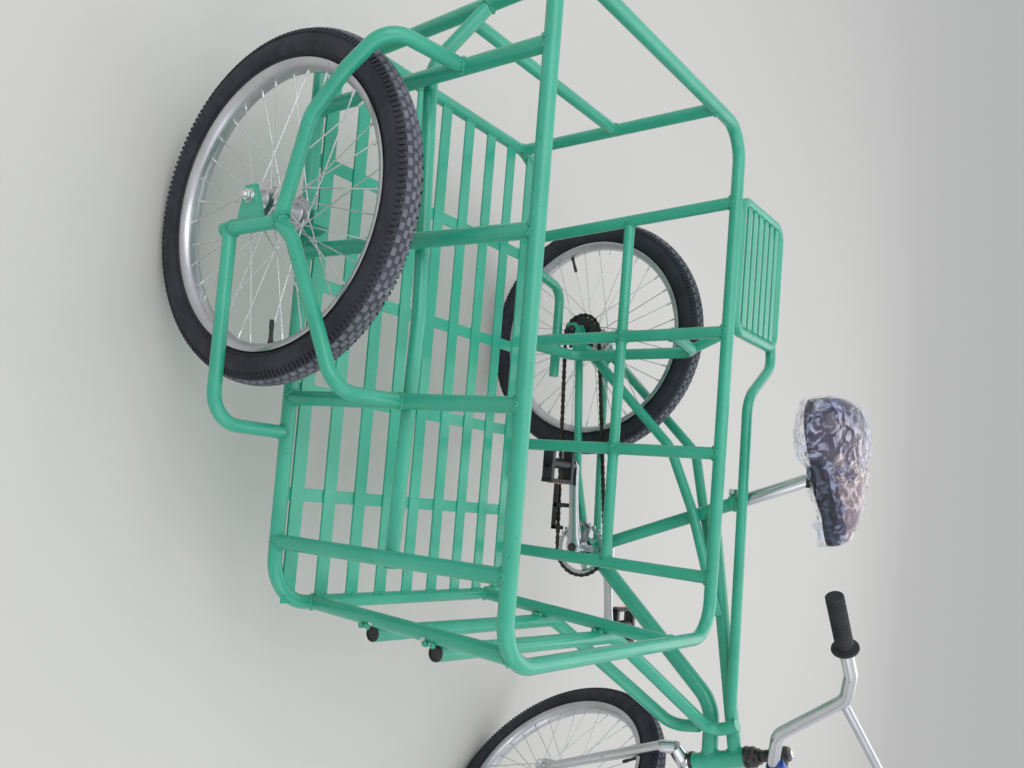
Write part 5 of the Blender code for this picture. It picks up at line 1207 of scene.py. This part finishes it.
def link_outline(reach):
    """A link's plate: two half circles about the pins with a waist between them."""
    outline = []
    for middle, base, waist in ((0.0, pi / 2, -LINK_WAIST), (reach, -pi / 2, LINK_WAIST)):
        for k in range(6):
            turn = base + pi * k / 5
            outline.append((middle + LINK_R * cos(turn), LINK_R * sin(turn)))
        outline.append((reach / 2, waist))
    return outline


def chain():
    shape = Shape()
    pins = chain_loop()
    for i, pin in enumerate(pins):
        after = pins[(i + 1) % len(pins)]
        way = (after - pin).normalized()
        outline = link_outline((after - pin).length)
        for side in (-1, 1):
            place = pin + ACROSS * side * (LINK_OUTER if i % 2 else LINK_INNER)
            shape.slab(outline, LINK_THICK, place, way, way.cross(ACROSS))
        shape.lathe([(0.003, -0.0012), (0.003, 0.0012)], pin, ACROSS, 9)
        shape.lathe([(0.0014, -0.0032), (0.0014, 0.0032)], pin, ACROSS, 7)
    shape.make("chain_links", CHAIN, slot="dark_steel", replaces=("chain",), sharp=45.0)


TOOTH_HALF, TOOTH_DEPTH, SPIDER_ARMS, SPIDER_TURN = 0.0014, 0.0042, 5, 0.3


def toothed(shape, teeth, centre, bore):
    """A toothed disc with a bore, as two skins joined by their outer and inner walls."""
    tip = pitch_radius(teeth) + 0.0002
    root, shoulder = tip - TOOTH_DEPTH, tip - 0.0008
    tooth = ((0.15, root), (0.36, shoulder), (0.44, tip), (0.56, tip), (0.64, shoulder), (0.85, root))
    outer = []
    for i in range(teeth):
        for share, radius in tooth:
            angle = 2 * pi * (i + share) / teeth
            outer.append((radius * cos(angle), radius * sin(angle)))
    inner = [(bore * cos(atan2(z, x)), bore * sin(atan2(z, x))) for x, z in outer]
    verts = []
    for ring, y in ((outer, -TOOTH_HALF), (outer, TOOTH_HALF), (inner, TOOTH_HALF), (inner, -TOOTH_HALF)):
        verts += [Vector(centre) + Vector((x, CHAIN_Y + y, z)) for x, z in ring]
    shape.add(verts, skin(4, len(outer), closed=True))


CRANK_ANGLE, CRANK_LENGTH, CRANK_Y = radians(185), 0.17, 0.068
# Sections of a crank arm: distance along it, half width, half thickness
ARM_SECTIONS = ((-0.014, 0.01, 0.0085), (-0.006, 0.0155, 0.0115), (0.008, 0.0165, 0.0115),
                (0.024, 0.0125, 0.0095), (0.06, 0.0105, 0.008), (0.11, 0.0098, 0.0072),
                (0.15, 0.0105, 0.007), (0.164, 0.0125, 0.0072), (0.176, 0.011, 0.007),
                (0.182, 0.006, 0.006))
ARM_POWER, ARM_THINNER = 0.55, 0.72


def crank_point(side, along, out, up=0.0):
    """A point on a crank arm: along it from the spindle, out along the spindle and up across the arm."""
    way, over = spun(CRANK_ANGLE if side < 0 else CRANK_ANGLE - pi)
    return BRACKET + way * along + ACROSS * side * out + over * up


def crank_arm(shape, side):
    def squared(value):
        return copysign(abs(value) ** ARM_POWER, value)

    rings = []
    for along, half, thick in ARM_SECTIONS:
        rings.append([crank_point(side, along, CRANK_Y + 0.006 + thick * ARM_THINNER * squared(c),
                                  half * squared(s)) for c, s in circle(20)])
    ring_skin(shape, rings)


# Chain guide bars: place of the middle (x, z), half length along X, half height
GUIDE_BARS = ((0.37, 0.252, 0.0045, 0.029), (0.3845, 0.2765, 0.019, 0.0045),
              (0.37, 0.2255, 0.052, 0.0055), (0.418, 0.236, 0.004, 0.014))
GUIDE_Y, GUIDE_THICK = -0.0535, 0.003


def chain_guide():
    """A bracket of black flat bar beside the chain's lower run, carried on the right chain stay."""
    shape = Shape()
    for x, z, half_long, half_high in GUIDE_BARS:
        shape.block((x, GUIDE_Y, z), (half_long, half_high, GUIDE_THICK / 2), FORWARD, UP)
    stay = Vector((0.374, -0.0352, 0.2808))
    ear = Vector((0.374, GUIDE_Y, 0.2775))
    reach = (ear - stay).length
    strap = [(0.0, -0.006), (reach, -0.006), (reach, 0.006), (0.0, 0.006)]
    shape.slab(strap, GUIDE_THICK, stay, (ear - stay).normalized(), FORWARD)
    shape.make("chain_guide", PLASTIC, "frame", "dark_steel", bevel=0.0005)


def rear_sprocket():
    shape = Shape()
    toothed(shape, SPROCKET_TEETH, WHEEL_TOP, 0.0122)
    boss = [(0.0122, -0.0515), (0.019, -0.0515), (0.02, -0.044), (0.0122, -0.042)]
    shape.lathe(boss, WHEEL_TOP, ACROSS, 32, closed=True)
    shape.make("rear_sprocket_teeth", DARK, "rear_wheel", "dark_steel", ("rear_sprocket",), sharp=35.0)


def chainring():
    ring = Shape()
    toothed(ring, RING_TEETH, BRACKET, 0.046)
    spider = [(0.012, -0.0075), (0.048, -0.0055), (0.048, 0.0055), (0.012, 0.0075)]
    for k in range(SPIDER_ARMS):
        way, over = spun(2 * pi * k / SPIDER_ARMS + SPIDER_TURN)
        ring.slab(spider, 0.0028, BRACKET + ACROSS * CHAIN_Y, way, over)
    boss = [(0.009, -0.0685), (0.0165, -0.0685), (0.0165, -0.0435), (0.009, -0.0435)]
    ring.lathe(boss, BRACKET, ACROSS, 32, closed=True)
    ring.make("chainring", CHROME, "crank", "chrome", sharp=35.0)


def cranks():
    both = Shape()
    spindle = Shape()
    spindle.lathe([(0.0083, -0.069), (0.0083, 0.069)], BRACKET, ACROSS, 20)
    for side in (-1, 1):
        crank_arm(both, side)
        place = crank_point(side, 0.0, CRANK_Y + 0.013)
        spindle.lathe([(0.0095, 0.0), (0.0095, 0.002), (0.007, 0.003)], place, ACROSS * side, 24)
        spindle.hexagon(place, ACROSS * side, 0.012, 0.0035)
    both.make("crank_arms", CHROME, "crank", "chrome", ("crankset",), sharp=50.0)
    spindle.make("crank_spindle", DARK, "crank", "chrome")


# Pedal sizes: half depth and half height of the cage, width, its start along the pin, depth of the end bars
PEDAL_DEEP, PEDAL_HIGH, PEDAL_WIDE, PEDAL_START, PEDAL_END = 0.04, 0.0125, 0.086, CRANK_Y + 0.0125, 0.011


def pedal(side, word, lens_look):
    centre = crank_point(side, CRANK_LENGTH, 0.0)
    name, out = "pedal_" + word, ACROSS * side
    inner = PEDAL_START + 0.01
    outer = inner + PEDAL_WIDE
    middle = centre + out * (inner + outer) / 2
    cage = Shape()
    for y0, y1 in ((inner, inner + PEDAL_END), (outer - PEDAL_END, outer)):
        cage.block(centre + out * (y0 + y1) / 2, (PEDAL_DEEP - 0.004, (y1 - y0) / 2, PEDAL_HIGH - 0.001))
    for sign in (-1, 1):
        cage.block(middle + FORWARD * sign * (PEDAL_DEEP - 0.004), (0.004, PEDAL_WIDE / 2, PEDAL_HIGH))
        for k in range(7):
            y = inner + 0.008 + (PEDAL_WIDE - 0.016) * k / 6
            edge = centre + out * y + FORWARD * sign * (PEDAL_DEEP - 0.0035)
            for top in (-1, 1):
                cage.block(edge + UP * top * (PEDAL_HIGH - 0.0002), (0.003, 0.003, 0.0012))
    sleeve = [(0.0105, inner), (0.0105, outer - 0.004), (0.012, outer - 0.003), (0.012, outer)]
    cage.lathe(sleeve, centre, out, 24)
    cage.make(name + "_body", PLASTIC, name, "black_plastic", (name,), bevel=0.0012)
    pin = Shape()
    profile = [(0.0058, PEDAL_START), (0.0058, PEDAL_START + 0.004), (0.0046, PEDAL_START + 0.005),
               (0.0046, inner + 0.002)]
    pin.lathe(profile, centre, out, 16)
    pin.hexagon(centre + out * (PEDAL_START + 0.001), out, 0.013, 0.006)
    pin.make(name + "_pin", SPOKE, name, "dark_steel")
    lens = Shape()
    for sign in (-1, 1):
        lens.block(middle + FORWARD * sign * (PEDAL_DEEP + 0.0002), (0.0012, 0.026, 0.0075))
    lens.make(name + "_reflectors", lens_look, name, "black_plastic", bevel=0.0008)


def drive():
    rear_sprocket()
    chainring()
    cranks()
    chain_guide()
    pedal(-1, "right", AMBER)
    pedal(1, "left", RED)


# Steering

BAR_UP, BAR_REACH, BAR_R, BRACE_R = 0.113, 0.045, 0.0111, 0.008
# Corners of the handlebar's left half: distance from the middle, height above the clamp
BAR_HALF = ((0.032, 0.008), (0.098, 0.043), (0.162, 0.186), (0.214, 0.213), (0.372, 0.246))
BRACE_END = (0.1593, 0.18)
GRIP_RIBS, GRIP_FIRST, GRIP_LENGTH, GRIP_LOW_R, GRIP_HIGH_R = 22, 0.001, 0.096, 0.0131, 0.0144
CROWN = head_point(-0.078)
BLADE_Y, BLADE_R, BLADE_THINNER = 0.0525, 0.0128, 0.0045
DROPOUT = [(-0.014, 0.045), (0.01, 0.045), (0.016, 0.0), (0.008, -0.014), (-0.01, -0.014), (-0.016, 0.0)]
# Profiles on the steering axis: radius, height above the middle of the head tube
HEADSET = [(0.0165, 0.0602), (0.0195, 0.061), (0.0195, 0.068), (0.0165, 0.07), (0.015, 0.071), (0.015, 0.078),
           (0.012, 0.079)]
STEM = [(0.0112, 0.06), (0.0112, 0.102), (0.014, 0.108), (0.0145, 0.128), (0.0125, 0.1345), (0.008, 0.136)]
CLAMP_HALF = [(0.0114, -0.0258), (0.0165, -0.0255), (0.0173, -0.0235)]


def bar_point(out, up, side):
    return head_point(BAR_UP + up, BAR_REACH, side * out)


def fork():
    shape = Shape(parked)
    shape.lathe([(0.021, 0.0), (0.0225, 0.002), (0.0225, 0.01), (0.019, 0.0148)], CROWN, HEAD_AXIS, 32)
    shape.lathe([(0.0127, -0.002), (0.0127, 0.136)], CROWN, HEAD_AXIS, 24)
    shape.tube([CROWN - ACROSS * 0.049, CROWN - ACROSS * 0.03, CROWN + ACROSS * 0.03, CROWN + ACROSS * 0.049],
               [0.013, 0.015, 0.015, 0.013], 24)
    for side in (-1, 1):
        top = CROWN + ACROSS * side * 0.045
        bend = CROWN + Vector((0.01, side * 0.055, -0.022))
        low = FRONT_HUB + Vector((-0.004, side * BLADE_Y, 0.03))
        blade = rounded([top, bend, low], 0.03)
        blade[-1:] = [blade[-2].lerp(low, k / 8) for k in range(1, 8)] + [low]
        count = len(blade)
        radii = [BLADE_R - BLADE_THINNER * max(0.0, (k - 8) / (count - 8)) for k in range(count)]
        shape.tube(blade, radii, 22)
        shape.slab(DROPOUT, TAB_THICK, FRONT_HUB + ACROSS * side * BLADE_Y, FORWARD, UP)
    shape.make("fork_blades", CHROME, "steering", "chrome", ("fork",), sharp=40.0)


def stem():
    """The headset's rings, the stem with its bolt, and the handlebar's clamp."""
    clamp = head_point(BAR_UP + 0.0081, BAR_REACH)
    rings = Shape(parked).lathe(HEADSET, HEAD, HEAD_AXIS, 30)
    rings.make("headset_rings", DARK, "steering", "dark_steel", sharp=40.0)
    body = Shape(parked).lathe(STEM, HEAD, HEAD_AXIS, 30)
    body.tube([head_point(BAR_UP + 0.0071), head_point(BAR_UP + 0.0081, BAR_REACH * 0.5), clamp],
              [0.013, 0.0118, 0.0125], 22)
    body.make("stem_body", DARK, "steering", "black_plastic", ("stem",), sharp=40.0)
    collar = Shape(parked).lathe(mirrored(CLAMP_HALF), clamp, ACROSS, 30, closed=True)
    collar.make("stem_clamp", BLUE, "steering", "black_plastic", sharp=40.0)
    bolt = Shape(parked).hexagon(head_point(0.1358), HEAD_AXIS, 0.012, 0.004)
    bolt.make("stem_bolt", SPOKE, "steering", "dark_steel", sharp=40.0)


def handlebar():
    path = [bar_point(*row, -1) for row in reversed(BAR_HALF)] + [bar_point(*row, 1) for row in BAR_HALF]
    bar = Shape(parked).tube(rounded(path, 0.045), BAR_R, 26)
    bar.tube([bar_point(*BRACE_END, -1), bar_point(*BRACE_END, 1)], BRACE_R, 20)
    for side in (-1, 1):
        joint = bar_point(*BRACE_END, side)
        leg = bar_point(*BAR_HALF[2], side) - bar_point(*BAR_HALF[1], side)
        bar.weld(joint - ACROSS * side * 0.04, ACROSS * side, BRACE_R, joint, leg, BAR_R, 0.0018)
    bar.make("handlebar_tube", CHROME, "steering", "chrome", ("handlebar",), sharp=50.0)


def grip(side, word):
    end, before = bar_point(*BAR_HALF[4], side), bar_point(*BAR_HALF[3], side)
    profile = [(0.004, -0.005), (0.0118, -0.0048), (0.0143, -0.003)]
    for k in range(GRIP_RIBS):
        low = GRIP_FIRST + GRIP_LENGTH * k / GRIP_RIBS
        profile += [(GRIP_LOW_R, low), (GRIP_HIGH_R, low + 0.0009), (GRIP_HIGH_R, low + 0.0028),
                    (GRIP_LOW_R, low + 0.0037)]
    profile += [(0.0133, 0.099), (0.017, 0.1003), (0.0214, 0.1012), (0.022, 0.103), (0.022, 0.1045),
                (0.0214, 0.1058), (0.016, 0.1068), (0.0118, 0.107)]
    shape = Shape(parked).lathe(profile, end, (before - end).normalized(), 36)
    shape.make("grip_%s_ribbed" % word, GRIP, "steering", "black_plastic", ("grip_" + word,), sharp=32.0)


def steering():
    fork()
    stem()
    handlebar()
    grip(-1, "right")
    grip(1, "left")


def main():
    add_camera()
    add_lamps()
    add_world()
    add_floor()
    basket()
    floor_frame()
    floor_welds()
    wheel_guard()
    arms()
    axle_mounting()
    bicycle_frame()
    rack()
    saddle_pad()
    saddle_film()
    seat_post()
    wheel("rear", WHEEL_TOP, 0.055, "rear_wheel", at, 200)
    wheel("sidecar", SIDE_HUB, 0.05, "sidecar_wheel", at, 2)
    wheel("front", FRONT_HUB, 0.05, "front_wheel", parked, 120)
    axle_pieces()
    chain()
    drive()
    steering()


main()
